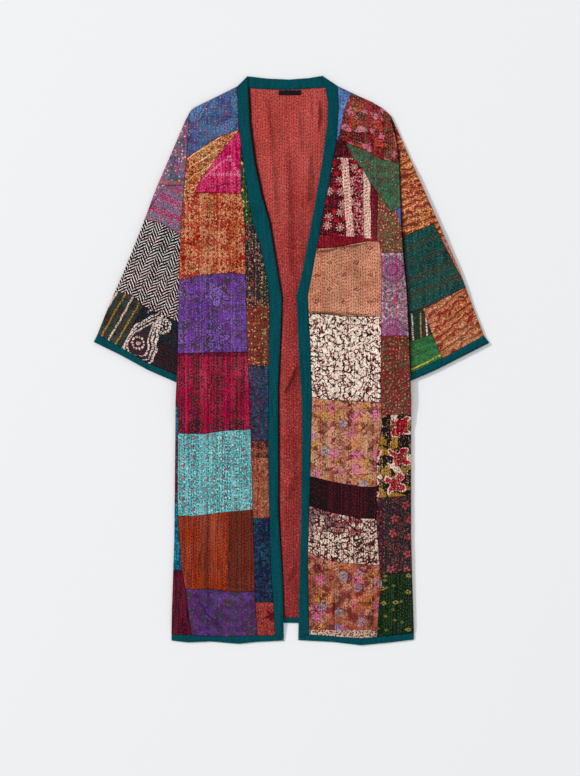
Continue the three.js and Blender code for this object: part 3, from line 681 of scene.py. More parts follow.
        blossom((208, 118, 154), 42, 14, loose=0.8, high=0.6, wobble=4),
        arcs((216, 152, 58), 46, 15, 6, loose=0.8, high=0.55, wobble=4),
        leaf((94, 48, 36), 44, 11, loose=0.9, high=0.4, at=(20, 20)),
        arcs((128, 170, 192), 40, 10, 5, loose=0.9, low=0.65, wobble=4),
        squiggle((112, 50, 40), 17, line=2.0), dot((216, 94, 152), 9, 1.4, loose=0.9, high=0.3),
    )),
    "black_bar": Print((24, 17, 19), threads=(T.DARK, T.DARK, T.MAROON), fade=0.3, layers=(
        fill((42, 14, 20), window=Window(66, 162), cover=0.6),
        stripe((66, 14, 24), 7, 1.5, window=Window(74, 158)),
    )),
    "cream_vine_low": Print((226, 202, 180), threads=(T.MAROON, T.DARK), fade=0.35, layers=(
        mottle((104, 92, 90), 24, 0.7, window=Window(right=84, low=-360), cover=0.8),
        mottle((146, 48, 64), 20, 0.7, window=Window(88, 148, -366), cover=0.8),
        squiggle((60, 44, 48), 15, line=1.5), twig((120, 20, 40), 14, line=2.6, loose=1.0, wobble=4),
        twig((34, 26, 30), 13, line=2.9, loose=1.0, at=(70, 30), wobble=4),
    )),
    "peach_low": Print((160, 94, 64), threads=(T.MAROON, T.MOSS, T.RED), layers=(
        mottle((190, 130, 98), 26, 0.45), mottle((104, 50, 38), 24, 0.3, at=(40, 0)),
        blossom((200, 104, 146), 44, 14, loose=0.8, high=0.55, wobble=4),
        arcs((206, 132, 46), 48, 16, 6, loose=0.8, high=0.6, wobble=4),
        arcs((116, 150, 176), 38, 9, 5, loose=0.9, low=0.6, wobble=4), squiggle((98, 42, 38), 17, line=1.8),
        dot((220, 84, 150), 10, 1.6, loose=0.9, high=0.35),
        fill((214, 190, 170), window=Window(high=-566), cover=0.9),
        leaf((70, 50, 46), 7, 3.6, loose=0.9, window=Window(high=-566)),
    )),
    "outer_brown": Print((112, 58, 46), threads=(T.CLARET, T.OLIVE), layers=(
        mottle((96, 44, 42), 14, 0.45), dot((154, 32, 52), 6, 2.0, loose=0.9, high=0.5),
        dot((92, 110, 74), 6, 1.8, loose=0.9, low=0.5), dot((214, 162, 104), 6, 1.4, loose=0.9, high=0.5),
        fill((62, 84, 176), window=Window(229, 260, 283, 318, -0.27)),
    )),
    "violet_rings": Print((150, 102, 120), threads=(T.RED, T.GREEN), layers=(
        squiggle((96, 56, 98), 11, line=2.2), squiggle((212, 158, 186), 10, line=1.6, at=(50, 0)),
        dot((146, 88, 140), 128, 27, at=(211, 190)),
        arcs((164, 40, 112), 128, 25, 7.2, at=(211, 190), cover=0.85),
        wreath((84, 24, 50), 128, 24, 3, count=26, at=(211, 190)),
        wreath((206, 150, 180), 128, 18, 3, count=20, at=(211, 190)),
        wreath((84, 24, 50), 128, 12, 3, count=14, at=(211, 190)),
        dot((178, 60, 128), 128, 5, at=(211, 190)),
        rosette((92, 26, 50), 128, 14, 2.6, count=6, at=(213, 123)),
        dot((176, 46, 96), 128, 5, at=(213, 123)), dot((92, 34, 60), 6.4, 1.2, loose=0.9, high=0.4),
    )),
    "outer_maroon": Print((104, 44, 40), threads=(T.CLARET, T.MOSS), layers=(
        mottle((84, 34, 34), 14, 0.45), dot((164, 34, 54), 6, 2.0, loose=0.9, high=0.5),
        dot((100, 108, 66), 6, 1.8, loose=0.9, low=0.5), dot((204, 138, 96), 6.4, 1.4, loose=0.9, high=0.4),
    )),
    "rose": Print((26, 20, 22), threads=(T.TAN, T.DARK), layers=(
        leaf((152, 112, 34), 40, 23, loose=0.8, at=(14, 22), wobble=6),
        leaf((216, 190, 170), 44, 21, loose=0.9, high=0.8, at=(30, 0), wobble=6),
        leaf((120, 88, 28), 26, 11, loose=0.9, high=0.5, wobble=5),
        blossom((224, 190, 180), 60, 27, count=4, loose=0.25, at=(216, -148), wobble=5),
        blossom((178, 18, 38), 60, 23, count=4, loose=0.25, at=(216, -148), wobble=7),
        arcs((104, 10, 26), 60, 17, 7, loose=0.25, at=(216, -148), wobble=7),
        dot((222, 200, 184), 9, 1.1, loose=0.9, high=0.3),
    )),
    "navy_coral": Print((34, 26, 42), threads=(T.MAROON, T.MOSS), layers=(
        blossom((184, 74, 82), 34, 9.4, loose=0.5, high=0.75, wobble=2),
        dot((104, 34, 44), 34, 3.4, loose=0.5), dot((184, 84, 50), 6.4, 1.3, loose=0.9, high=0.4),
        dot((134, 36, 54), 6.8, 1.4, loose=0.9, low=0.5),
        dot((76, 88, 64), 9, 1.4, loose=0.9, low=0.5, high=0.9),
    )),
    "forest_dots": Print((6, 46, 20), threads=(T.DARK, T.MOSS), fade=0.35, layers=(
        streak((4, 32, 15), 10, 0.5), diamond((158, 132, 66), 27, 5.4, 3.0, loose=0.5, high=0.42),
        diamond((120, 116, 46), 17, 3, 2.6, loose=0.8, high=0.35, at=(8, 3)),
    )),
    "sleeve_paisley": Print((122, 98, 122), threads=(T.CLARET, T.GREEN, T.VIOLET), layers=(
        mottle((58, 76, 118), 26, 0.5), boteh((88, 116, 158), 36, 14, loose=0.4, turn=20),
        boteh_edge((196, 64, 128), 36, 14, 2.2, loose=0.4, turn=20),
        dot((206, 60, 100), 6.4, 2.2, loose=0.8, high=0.5), dot((58, 116, 84), 6, 2.1, loose=0.9, low=0.5),
        dot((238, 176, 200), 7, 1.7, loose=0.9, high=0.5),
        fill((206, 98, 58), window=Window(low=370, high=376), cover=0.6),
    )),
    "sleeve_stripe": Print((152, 88, 128), threads=(T.CLARET, T.GREEN, T.VIOLET), layers=(
        stripe((178, 44, 94), 28, 9, turn=-65, wobble=2),
        stripe((108, 104, 152), 28, 6, turn=-65, at=(0, 14), wobble=2),
        dot((240, 146, 182), 6, 2.3, loose=0.8, high=0.5),
        dot((52, 116, 112), 6.4, 2.2, loose=0.8, low=0.5),
        dot((214, 132, 60), 9, 1.6, loose=0.9, high=0.45), dot((62, 36, 54), 6, 1.5, loose=0.9, high=0.5),
    )),
    "herringbone": Print((17, 13, 15), threads=(T.MAROON, T.TEAL), fade=0.3, speckle=0.3, layers=(
        chevron((252, 240, 234), 7.8, 14.5, 2.15, turn=24, wobble=1.2),
    )),
    "sleeve_green": Print((44, 70, 58), threads=(T.TEAL, T.MAROON, T.DARK), layers=(
        mottle((34, 50, 46), 14, 0.5), dot((90, 64, 60), 6, 1.2, loose=0.9, high=0.4),
        stripe((226, 192, 168), 35, 3.8, turn=30, at=(-333, 131), wobble=1.6),
        stripe((170, 130, 44), 35, 3.4, turn=30, at=(-349, 138), wobble=1.6),
    )),
    "sleeve_black": Print((28, 25, 30), threads=(T.MAROON, T.TEAL), fade=0.3, speckle=0.3, layers=(
        boteh((50, 34, 38), 400, 58, at=(-315, 52), turn=12, wobble=3),
        boteh_edge((230, 210, 198), 400, 60, 5.4, at=(-315, 52), turn=12, wobble=3),
        boteh_edge((224, 202, 190), 400, 49, 4.6, at=(-317, 50), turn=12, wobble=3),
        boteh_edge((224, 202, 190), 400, 38, 4.0, at=(-319, 47), turn=12, wobble=3),
        wreath((224, 198, 188), 400, 12, 4.6, count=12, at=(-322, 36), wobble=3),
        dot((216, 176, 168), 400, 5, at=(-322, 36), wobble=3),
        wreath((226, 206, 194), 400, 13, 6.6, count=11, at=(-268, 72), wobble=3),
        wreath((222, 196, 186), 400, 5.5, 4.6, count=5, at=(-268, 72), wobble=3),
        wreath(
            (226, 206, 194), 400, 24, 6.0, count=20, at=(-285, 84), wobble=3, window=Window(-302, -262, 80),
        ),
        dot((36, 28, 32), 4.6, 1.3, loose=0.8, high=0.7, wobble=3),
    )),
    "sleeve_pink": Print((132, 34, 22), threads=(T.CLARET, T.DARK), layers=(
        blossom((192, 84, 60), 22, 8, loose=0.7, wobble=2), squiggle((84, 24, 24), 12, line=1.8),
        dot((206, 130, 84), 8, 1.4, loose=0.9, high=0.4),
    )),
    "sleeve_orange": Print((192, 108, 60), threads=(T.CLARET, T.MOSS), layers=(
        stripe((124, 30, 24), 14, 4.0, turn=70, wobble=5.5),
        stripe((228, 162, 98), 14, 2.4, turn=70, at=(0, 6), wobble=5.5),
        blossom((216, 138, 76), 24, 8, loose=0.9, high=0.6, window=Window(high=318)),
        squiggle((130, 32, 26), 14, line=1.6), dot((104, 96, 66), 7, 1.4, loose=0.9, high=0.35),
        dot((236, 190, 140), 8, 1.3, loose=0.9, low=0.6),
        fill((206, 130, 116), window=Window(292, 420, 60, 258), cover=0.8),
        dash((180, 40, 48), 5, 3.2, 1.5, window=Window(292, 420, 60, 258)),
    )),
    "sleeve_teal": Print((24, 72, 64), threads=(T.TEAL, T.MOSS), fade=0.35, layers=(
        streak((16, 44, 42), 8, 0.5),
        stripe((60, 40, 32), 32, 12, turn=68, at=(10, 4), wobble=5, cover=0.75),
        mottle((24, 72, 66), 10, 0.35, cover=0.7), dash((30, 92, 82), 5.4, 3.6, 1.5, turn=68),
        dot((70, 116, 112), 6.4, 1.1, loose=0.9, high=0.4),
    )),
    "sleeve_bars": Print((32, 52, 42), threads=(T.TEAL, T.DARK), fade=0.35, layers=(
        fill((92, 34, 36), window=Window(left=276, right=281, low=40, high=100), cover=0.8),
        fill((230, 208, 184), window=Window(254, 257.5, 42, 98, -0.06)),
        fill((180, 142, 62), window=Window(270.5, 273.5, 40, 100, -0.03)),
        fill((230, 208, 184), window=Window(282.5, 286, 46, 100, -0.04)),
        dot((110, 50, 50), 6, 1.2, loose=0.9, high=0.4),
    )),
    "sleeve_rust": Print((196, 118, 78), threads=(T.CLARET, T.OLIVE), layers=(
        stripe((140, 34, 30), 15, 3.6, turn=52, wobble=6.5),
        stripe((228, 170, 122), 15, 2.2, turn=52, at=(0, 7), wobble=6.5),
        leaf((118, 36, 34), 22, 8, loose=0.6, high=0.5), squiggle((150, 52, 38), 14, line=1.6),
        dot((92, 108, 70), 8, 1.6, loose=0.9, high=0.4),
    )),
    "sleeve_leaf": Print((34, 96, 52), threads=(T.MOSS, T.GREEN), fade=0.35, layers=(
        mottle((52, 122, 68), 12, 0.5), dot((84, 46, 34), 6, 1.4, loose=0.9, high=0.45),
        stripe((206, 184, 52), 400, 3.0, turn=64, at=(262, -14)),
    )),
}

LINING = Print(
    (178, 58, 57), threads=(T.MOSS, T.MAROON, T.MOSS), fade=0.25, speckle=0.0, layers=(
        streak((148, 44, 46), 7, 0.5, cover=0.5), mottle((136, 32, 40), 5, 0.5, cover=0.6),
        dot((206, 92, 84), 4.4, 1.2, loose=1.0, high=0.5, cover=0.8),
        dot((104, 62, 48), 4.6, 1.2, loose=1.0, low=0.45, at=(7, 3)),
        # Painted light and shade: the lining is painted lighter in steps towards the neck and darker in
        # steps towards the hem.
        *(fill((216, 92, 84), window=Window(low=level), cover=0.1) for level in (220, 290, 350, 410)),
        *(fill((96, 26, 30), window=Window(high=level), cover=0.06) for level in (-160, -260, -350, -430)),
    ),
)
BINDING = Print((4, 72, 80), (streak((3, 66, 75), 6, 0.4),), (T.TEAL,), 0.12, 0.0)
LABEL_CLOTH = Print((18, 18, 20), (stripe((30, 30, 33), 1.2, 0.5),), (T.DARK,), 0.2, 0.0)
OUTSIDE = Print(
    (110, 54, 60), threads=(T.RED,), layers=(
        check((44, 70, 96), 160, 80, 160), mottle((150, 96, 70), 120, 0.5),
        blossom((196, 142, 108), 34, 10, loose=0.6, high=0.6),
        leaf((64, 92, 70), 22, 7, loose=0.9, high=0.5), dash((206, 178, 156), 6, 3.8, 1.0),
    ),
)


class Wire:
    """A number or a vector that runs through a node tree, with the sums that nodes do on it."""

    def __init__(self, tree: bpy.types.NodeTree, socket: bpy.types.NodeSocket) -> None:
        """Hold a node's output socket."""
        self.tree = tree
        self.socket = socket

    def maths(self, operation: str, *others: Wire | float) -> Wire:
        """Apply a Math node to this number and the others."""
        return place(self.tree, "Math", 0, dict(enumerate((self, *others))), operation=operation)

    def vectors(self, operation: str, other: Wire | float | Sequence[float]) -> Wire:
        """Apply a Vector Math node to this vector and another, or to a number that scales it."""
        second = "Scale" if operation == "SCALE" else 1
        return place(self.tree, "VectorMath", 0, {0: self, second: other}, operation=operation)

    def twin(self, output: str | int) -> Wire:
        """Give another output of the same node."""
        return Wire(self.tree, self.socket.node.outputs[output])

    def parts(self) -> tuple[Wire, Wire]:
        """Split a vector into X and Y."""
        x = place(self.tree, "SeparateXYZ", 0, {0: self})
        return x, x.twin(1)

    __add__ = partialmethod(maths, "ADD")
    __sub__ = partialmethod(maths, "SUBTRACT")
    __mul__ = partialmethod(maths, "MULTIPLY")
    __truediv__ = partialmethod(maths, "DIVIDE")
    __lt__ = partialmethod(maths, "LESS_THAN")
    __gt__ = partialmethod(maths, "GREATER_THAN")
    __abs__ = partialmethod(maths, "ABSOLUTE")

    def __rtruediv__(self, number: float) -> Wire:
        """Divide a plain number by this."""
        return place(self.tree, "Math", 0, {0: number, 1: self}, operation="DIVIDE")

    def repeat(self, pitch: Wire | float) -> Wire:
        """Give how far this is from the middle of its own repeat."""
        return ((self / pitch).maths("FRACT") - 0.5) * pitch


def place(
    tree: bpy.types.NodeTree,
    kind: str,
    output: str | int,
    inputs: dict[str | int, object],
    **settings: object,
) -> Wire:
    """Place a node in a tree.

    Args:
        tree: The tree.
        kind: The node's type, without the part that all shader nodes share.
        output: Which output to give.
        inputs: A wire or a plain value for each input that isn't left as it is.
        settings: The node's properties, which are set first.

    Returns:
        The output's wire.
    """
    node = tree.nodes.new(f"ShaderNode{kind}")
    for name, value in settings.items():
        setattr(node, name, value)
    for name, value in inputs.items():
        if isinstance(value, Wire):
            tree.links.new(value.socket, node.inputs[name])
        else:
            node.inputs[name].default_value = value
    return Wire(tree, node.outputs[output])


def noise(
    vector: Wire, size: Wire | float, detail: float = 1.0, wring: float = 0.0, output: str = "Fac"
) -> Wire:
    """Place soft noise of a size in millimetres, which gives about 0.5 on average."""
    inputs = {"Vector": vector, "Scale": 1.0 / size, "Detail": detail, "Distortion": wring}
    return place(vector.tree, "TexNoise", output, inputs, noise_dimensions="2D")


def cloth_place(tree: bpy.types.NodeTree) -> Wire:
    """Give the place on the cloth in millimetres."""
    return place(tree, "TexCoord", "Object", {}).vectors("SCALE", 1 / MM)


class Recipe:
    """A shader node group that is built once and placed in many materials."""

    KINDS = {1: "NodeSocketFloat", 3: "NodeSocketVector", 4: "NodeSocketColor"}

    def __init__(self, name: str, inputs: dict[str, object], outputs: dict[str, int]) -> None:
        """Open a group with named sockets.

        Args:
            name: The group's name.
            inputs: Each input's name and default: a number, three for a vector or four for a colour.
            outputs: Each output's name and how many numbers it has.
        """
        self.tree = bpy.data.node_groups.new(name, "ShaderNodeTree")
        for label, default in inputs.items():
            size = 1 if isinstance(default, (int, float)) else len(default)
            socket = self.tree.interface.new_socket(label, in_out="INPUT", socket_type=self.KINDS[size])
            socket.default_value = default
        for label, size in outputs.items():
            self.tree.interface.new_socket(label, in_out="OUTPUT", socket_type=self.KINDS[size])
        self.source = self.tree.nodes.new("NodeGroupInput")
        self.target = self.tree.nodes.new("NodeGroupOutput")

    def given(self, *labels: str) -> list[Wire]:
        """Give the wires of inputs."""
        return [Wire(self.tree, self.source.outputs[label]) for label in labels]

    def put(self, label: str, value: Wire) -> None:
        """Feed an output."""
        self.tree.links.new(value.socket, self.target.inputs[label])


class MotifRecipe(Recipe):
    """The group of one motif: a mask of 1 where the motif is."""

    INPUTS = {
        "Vector": (0.0, 0.0, 0.0),
        "Pitch": 20.0,
        "Size": 5.0,
        "Line": 1.0,
        "Count": 5.0,
        "Loose": 0.0,
        "Low": 0.0,
        "High": 1.0,
    }
    WITHOUT_CELLS = (
        Motif.FILL, Motif.STRIPE, Motif.CHEVRON, Motif.SQUIGGLE, Motif.TWIG, Motif.DASH, Motif.STREAK,
        Motif.MOTTLE,
    )
    PETAL_BASE = 0.74
    PETAL_WAVE = 0.26
    LEAF_WIDTH = 0.36
    LEAF_HEADING = 37.0
    DIAMOND_SQUASH = 0.66
    BLOCK_WIDTH = 0.7
    BOTEH_TAPER = -0.36
    BOTEH_BEND = 0.3
    BOTEH_BEND_FROM = 0.4
    DASH_STAGGER = 0.618
    SQUIGGLE_STEEPNESS = 0.26
    TWIG_BREAK = 0.85
    TWIG_SHARE = 0.48
    STREAK_DRAW = (1.0, 0.09, 1.0)
    PETAL_TURN = 6.28
    TURN = 6.2832
    BELOW = 0.001
    SQUIGGLE_WRING = 0.3
    CLOUD_LEVEL = 0.7
    CLOUD_FALL = -0.4
    CLOUD_EASE = 8.0
    MOTTLE_DETAIL = 1.5

    def __init__(self, motif: Motif) -> None:
        """Build the group: lay out the motif's cells where it has any, and draw it in them."""
        super().__init__(f"motif_{motif.value}", self.INPUTS, {"Mask": 1})
        self.vector, self.pitch, self.size, self.line, self.count = self.given(
            "Vector", "Pitch", "Size", "Line", "Count"
        )
        draw = getattr(self, motif.value)
        if motif in self.WITHOUT_CELLS:
            self.x, self.y = self.vector.parts()
            self.put("Mask", draw())
            return
        loose, low, high = self.given("Loose", "Low", "High")
        middle = place(
            self.tree, "TexVoronoi", "Position",
            {"Vector": self.vector, "Scale": 1.0 / self.pitch, "Randomness": loose},
            voronoi_dimensions="2D", feature="F1",
        )
        self.x, self.y = self.vector.vectors("SUBTRACT", middle).parts()
        self.reach = (self.x * self.x + self.y * self.y).maths("SQRT")
        self.bearing = self.y.maths("ARCTAN2", self.x)
        self.number, _ = middle.twin("Color").parts()
        self.put("Mask", draw() * (self.number > low - self.BELOW) * (self.number < high))

    def stroke(self, distance: Wire) -> Wire:
        """Give a line where a distance from its middle is small."""
        return abs(distance) < self.line * 0.5

    def fill(self) -> Wire:
        """Fill the whole patch."""
        return self.line > -1.0

    def dot(self) -> Wire:
        """Draw a round dot."""
        return self.reach < self.size

    def ring(self) -> Wire:
        """Draw a ring, as left by tie-dyeing."""
        return self.stroke(self.reach - self.size)

    def petals(self) -> Wire:
        """Give how far a blossom's edge is from its middle, in the direction of each point."""
        turned = (self.bearing + self.number * self.PETAL_TURN) * self.count
        return (turned.maths("COSINE") * self.PETAL_WAVE + self.PETAL_BASE) * self.size

    def blossom(self) -> Wire:
        """Draw a flower seen from the front."""
        return self.reach < self.petals()

    def rosette(self) -> Wire:
        """Draw a flower's outline."""
        return self.stroke(self.reach - self.petals())

    def diamond(self) -> Wire:
        """Draw the outline of a lozenge."""
        squash = self.DIAMOND_SQUASH
        return self.stroke(abs(self.x) * squash + abs(self.y) - self.size * squash)

    def boteh_width(self) -> tuple[Wire, Wire]:
        """Give a paisley's half width at each point, and how far the point is from its bent middle line."""
        t = self.y / self.size
        body = (t * t * -1.0 + 1.0).maths("MAXIMUM", 0.0).maths("SQRT")
        width = body * (t * self.BOTEH_TAPER + 0.5) * self.size
        bend = (t + self.BOTEH_BEND_FROM) * (t + self.BOTEH_BEND_FROM) * self.size * self.BOTEH_BEND
        return width, abs(self.x - bend)

    def boteh(self) -> Wire:
        """Draw a paisley, a bent drop."""
        width, away = self.boteh_width()
        return away < width

    def boteh_edge(self) -> Wire:
        """Draw a paisley's outline."""
        width, away = self.boteh_width()
        return self.stroke(away - width) * (width > 0.1)

    def leaf(self) -> Wire:
        """Draw a pointed leaf that lies its own way in each cell."""
        heading = self.number * self.LEAF_HEADING
        sine, cosine = heading.maths("SINE"), heading.maths("COSINE")
        along = (self.x * cosine + self.y * sine) / self.size
        across = abs(self.y * cosine - self.x * sine)
        return across < (along * along * -1.0 + 1.0) * self.size * self.LEAF_WIDTH

    def stripe(self) -> Wire:
        """Draw stripes along Y."""
        return abs((self.x + self.pitch * 0.5).repeat(self.pitch)) < self.size * 0.5

    def chevron(self) -> Wire:
        """Draw a herringbone in columns along Y."""
        zigzag = self.x.maths("PINGPONG", self.size)
        column = (self.x / self.size).maths("FLOOR").maths("MODULO", 2.0)
        return self.stroke((self.y + zigzag + column * self.pitch * 0.5).repeat(self.pitch))

    def squiggle(self) -> Wire:
        """Draw a thin wandering line."""
        heights = noise(self.vector, self.pitch, 1.0, self.SQUIGGLE_WRING)
        return abs(heights - 0.5) < self.line / self.pitch * self.SQUIGGLE_STEEPNESS

    def twig(self) -> Wire:
        """Draw short forked strokes."""
        away = place(
            self.tree, "TexVoronoi", "Distance", {"Vector": self.vector, "Scale": 1.0 / self.pitch},
            voronoi_dimensions="2D", feature="DISTANCE_TO_EDGE",
        )
        broken = noise(self.vector, self.pitch * self.TWIG_BREAK, 0.0) > self.TWIG_SHARE
        return (away * self.pitch < self.line * 0.5) * broken

    def dash(self) -> Wire:
        """Draw staggered dashes along Y, as printed in imitation of stitches."""
        column = (self.x / self.pitch).maths("FLOOR")
        shift = (column * self.DASH_STAGGER).maths("FRACT") * self.size * 2.0
        on_dash = abs((self.y + shift).repeat(self.size * 2.0)) < self.size * 0.5
        return self.stroke(self.x.repeat(self.pitch)) * on_dash

    def check(self) -> Wire:
        """Draw blocks of small checks."""
        block = (abs(self.x) < self.size * self.BLOCK_WIDTH) * (abs(self.y) < self.size)
        one, other = (part.repeat(self.line) > 0.0 for part in (self.x, self.y))
        return block * (abs(one - other) > 0.5)

    def arcs(self) -> Wire:
        """Draw rings inside one another."""
        rings = abs(self.reach.repeat(self.line)) < self.line * 0.25
        return rings * (self.reach < self.size)

    def wreath(self) -> Wire:
        """Draw dots round a circle."""
        step = (self.bearing / self.TURN * self.count).maths("FRACT") - 0.5
        along = step * self.TURN * self.size / self.count
        out = self.reach - self.size
        return (along * along + out * out).maths("SQRT") < self.line * 0.5

    def streak(self) -> Wire:
        """Draw streaks of dye along Y, where Size is the share that they cover."""
        return self.clouds(self.vector.vectors("MULTIPLY", self.STREAK_DRAW), 1.0)

    def mottle(self) -> Wire:
        """Draw soft blotches, where Size is the share that they cover."""
        return self.clouds(self.vector, self.MOTTLE_DETAIL)

    def clouds(self, vector: Wire, detail: float) -> Wire:
        """Give noise over a level that falls with Size, eased in where it rises past it."""
        over = noise(vector, self.pitch, detail) - (self.size * self.CLOUD_FALL + self.CLOUD_LEVEL)
        return (over * self.CLOUD_EASE + 0.5).maths("MINIMUM", 1.0).maths("MAXIMUM", 0.0)


class ClothGroups:
    """The node groups that every cotton shares: its lie, its windows, its weave with the painted light and
    shade of its puckers, and its uneven fading with the painted shade of its seams.
    """

    WEAVE_PITCH = 0.55
    PUCKER_LENGTH = 4.6
    PUCKER_DRAW = (1.0, 1.6, 1.0)
    WOBBLE_LENGTH = 16
    EDGE_WAVE = 30.0
    EDGE_WAVER = 2.4
    WEAVE_RELIEF = 0.1
    WEAVE_TONE = 0.04
    PUCKER_TONE = 0.96
    LEAST_TONE = 0.51
    AGE_LENGTH = 70.0
    PALER = -0.36
    RICHER = 0.18
    LIGHTER = 0.9
    LEAST_LIGHT = 0.1
    ROUGHNESS = 0.8
    ROUGHNESS_SPREAD = 0.14
    SEAM_REACH = 1.7
    SEAM_LIGHT = 0.58

    def __init__(self) -> None:
        """Build the groups once."""
        self.lie = self.build_lie()
        self.window = self.build_window()
        self.weave = self.build_weave()
        self.age = self.build_age()

    def build_lie(self) -> bpy.types.NodeTree:
        """Build the group that gives a place on the cloth in millimetres, turned, moved and hand-wobbled."""
        r = Recipe("cloth_place", {"Turn": 0.0, "At": (0.0, 0.0, 0.0), "Wobble": 0.0}, {"Vector": 3})
        turn, at, wobble = r.given("Turn", "At", "Wobble")
        where = cloth_place(r.tree)
        moved = {"Vector": where.vectors("SUBTRACT", at), "Angle": turn}
        turned = place(r.tree, "VectorRotate", 0, moved, rotation_type="Z_AXIS")
        strayed = noise(where, self.WOBBLE_LENGTH, 0.0, output="Color").vectors("SUBTRACT", (0.5, 0.5, 0.5))
        r.put("Vector", turned.vectors("ADD", strayed.vectors("SCALE", wobble * 2.0)))
        return r.tree

    def build_window(self) -> bpy.types.NodeTree:
        """Build the group that keeps a layer to a stretch of the cloth."""
        labels = ("Left", "Right", "Low", "High", "Lean")
        r = Recipe("cloth_window", dict.fromkeys(labels, 0.0), {"Mask": 1})
        left, right, low, high, lean = r.given(*labels)
        where = cloth_place(r.tree)
        x, y = where.parts()
        soft = noise(where, self.EDGE_WAVE, 0.0) * self.EDGE_WAVER - self.EDGE_WAVER / 2
        across = x + soft - (y - low) * lean
        inside = (across > left) * (across < right)
        r.put("Mask", inside * (y + soft > low) * (y + soft < high))
        return r.tree

    def build_weave(self) -> bpy.types.NodeTree:
        """Build the group of the plain weave and of the puckers that hand quilting draws up, with a painted
        light and shade that brightens their rises and darkens their hollows.
        """
        r = Recipe("cloth_weave", {"Pucker": 1.0}, {"Height": 1, "Tone": 1})
        where = cloth_place(r.tree)
        step = 2 * math.pi / self.WEAVE_PITCH
        one, other = ((part * step).maths("SINE") for part in where.parts())
        threads = one * other
        rumple = noise(where.vectors("MULTIPLY", self.PUCKER_DRAW), self.PUCKER_LENGTH, 1.0)
        r.put("Height", threads * self.WEAVE_RELIEF + rumple * r.given("Pucker")[0])
        # Painted light and shade: the colour is lighter where the weave and the puckers rise and darker
        # where they sink.
        r.put("Tone", threads * self.WEAVE_TONE + rumple * self.PUCKER_TONE + self.LEAST_TONE)
        return r.tree

    def build_age(self) -> bpy.types.NodeTree:
        """Build the group that fades a colour unevenly and paints shade into it: the puckers' painted light
        and shade, and painted shade near seams, tuck feet and overlying edges, as the edge attribute carries
        them.
        """
        inputs = {"Color": (0.5, 0.5, 0.5, 1.0), "Fade": 0.5, "Tone": 1.0, "Edge": 10.0}
        r = Recipe("cloth_age", inputs, {"Color": 4, "Roughness": 1})
        colour, fade, relief_shade, edge = r.given(*inputs)
        broad = noise(cloth_place(r.tree), self.AGE_LENGTH, 2.0)
        strength = broad * self.PALER * fade + (fade * self.RICHER + 1.0)
        washed = place(r.tree, "HueSaturation", 0, {"Color": colour, "Saturation": strength})
        light = (broad - 0.5) * fade * self.LIGHTER + 1.0
        # Painted shade: darker near a seam, and darkest where the edge attribute marks a painted shadow.
        near = (edge / self.SEAM_REACH).maths("MINIMUM", 1.0)
        seam_shade = (near * (1 - self.SEAM_LIGHT) + self.SEAM_LIGHT).maths("MAXIMUM", self.LEAST_LIGHT)
        r.put("Color", washed.vectors("SCALE", light * seam_shade * relief_shade))
        r.put("Roughness", broad * self.ROUGHNESS_SPREAD + self.ROUGHNESS)
        return r.tree


class Wardrobe:
    """Makes the materials of the coat."""

    BUMP = 0.5
    BUMP_DISTANCE = 0.0004
    SHEEN = 0.05
    BINDING_PUCKER = 0.5
    LABEL_PUCKER = 0.2
    THREAD_PUCKER = 0.3
    THREAD_FADE = 0.4

    def __init__(self) -> None:
        """Build the shared groups, and the cottons that several pieces are cut from."""
        self.cloth = ClothGroups()
        self.motifs: dict[Motif, bpy.types.NodeTree] = {}
        self.lining = self.cotton("cotton_lining", LINING)
        self.outside = self.cotton("cotton_outside", OUTSIDE)
        self.teal = self.cotton("cotton_binding", BINDING, self.BINDING_PUCKER)
        self.threads = {colour: self.thread(colour) for colour in Thread}

    def thread(self, colour: Thread) -> bpy.types.Material:
        """Make a twisted cotton thread."""
        fabric = Print(colour.value, fade=self.THREAD_FADE, speckle=0.0)
        return self.cotton(f"thread_{colour.name.lower()}", fabric, self.THREAD_PUCKER)

    def layer_mask(self, tree: bpy.types.NodeTree, layer: Layer) -> Wire:
        """Place a layer's motif, and its window where it has one."""
        if layer.motif not in self.motifs:
            self.motifs[layer.motif] = MotifRecipe(layer.motif).tree
        lie = {"Turn": math.radians(layer.turn), "At": (*layer.at, 0.0), "Wobble": layer.wobble}
        spot = place(tree, "Group", "Vector", lie, node_tree=self.cloth.lie)
        form = {label: getattr(layer, label.lower()) for label in MotifRecipe.INPUTS if label != "Vector"}
        mask = place(tree, "Group", "Mask", {"Vector": spot, **form}, node_tree=self.motifs[layer.motif])
        if layer.window is not None:
            limits = {label.title(): limit for label, limit in vars(layer.window).items()}
            mask = mask * place(tree, "Group", "Mask", limits, node_tree=self.cloth.window)
        return mask * layer.cover if layer.cover < 1 else mask

    def cotton(self, name: str, fabric: Print, pucker: float = 1.0) -> bpy.types.Material:
        """Make a printed cotton.

        Args:
            name: The material's name.
            fabric: Its colours and motifs.
            pucker: How much its quilting draws it up.

        Returns:
            The material.
        """
        material = bpy.data.materials.new(name)
        material.use_nodes = True
        tree = material.node_tree
        colour = linear(fabric.ground)
        for layer in fabric.all_layers():
            over = {"Factor": self.layer_mask(tree, layer), 6: colour, 7: linear(layer.colour)}
            colour = place(tree, "Mix", 2, over, data_type="RGBA")
        # The weave group's shade output paints light and shade on the puckers; the edge attribute brings in
        # the painted shade of seams, tuck feet and overlying edges.
        weave = place(tree, "Group", "Tone", {"Pucker": pucker}, node_tree=self.cloth.weave)
        edge = place(tree, "Attribute", "Fac", {}, attribute_name="edge")
        fade_and_shade_inputs = {"Color": colour, "Fade": fabric.fade, "Tone": weave, "Edge": edge}
        age = place(tree, "Group", "Color", fade_and_shade_inputs, node_tree=self.cloth.age)
        relief = {"Strength": self.BUMP, "Distance": self.BUMP_DISTANCE, "Height": weave.twin("Height")}
        bumps = place(tree, "Bump", 0, relief)
        shader = tree.nodes["Principled BSDF"]
        for label, wire in (("Base Color", age), ("Roughness", age.twin("Roughness")), ("Normal", bumps)):
            tree.links.new(wire.socket, shader.inputs[label])
        shader.inputs["Specular IOR Level"].default_value = self.SHEEN
        return material


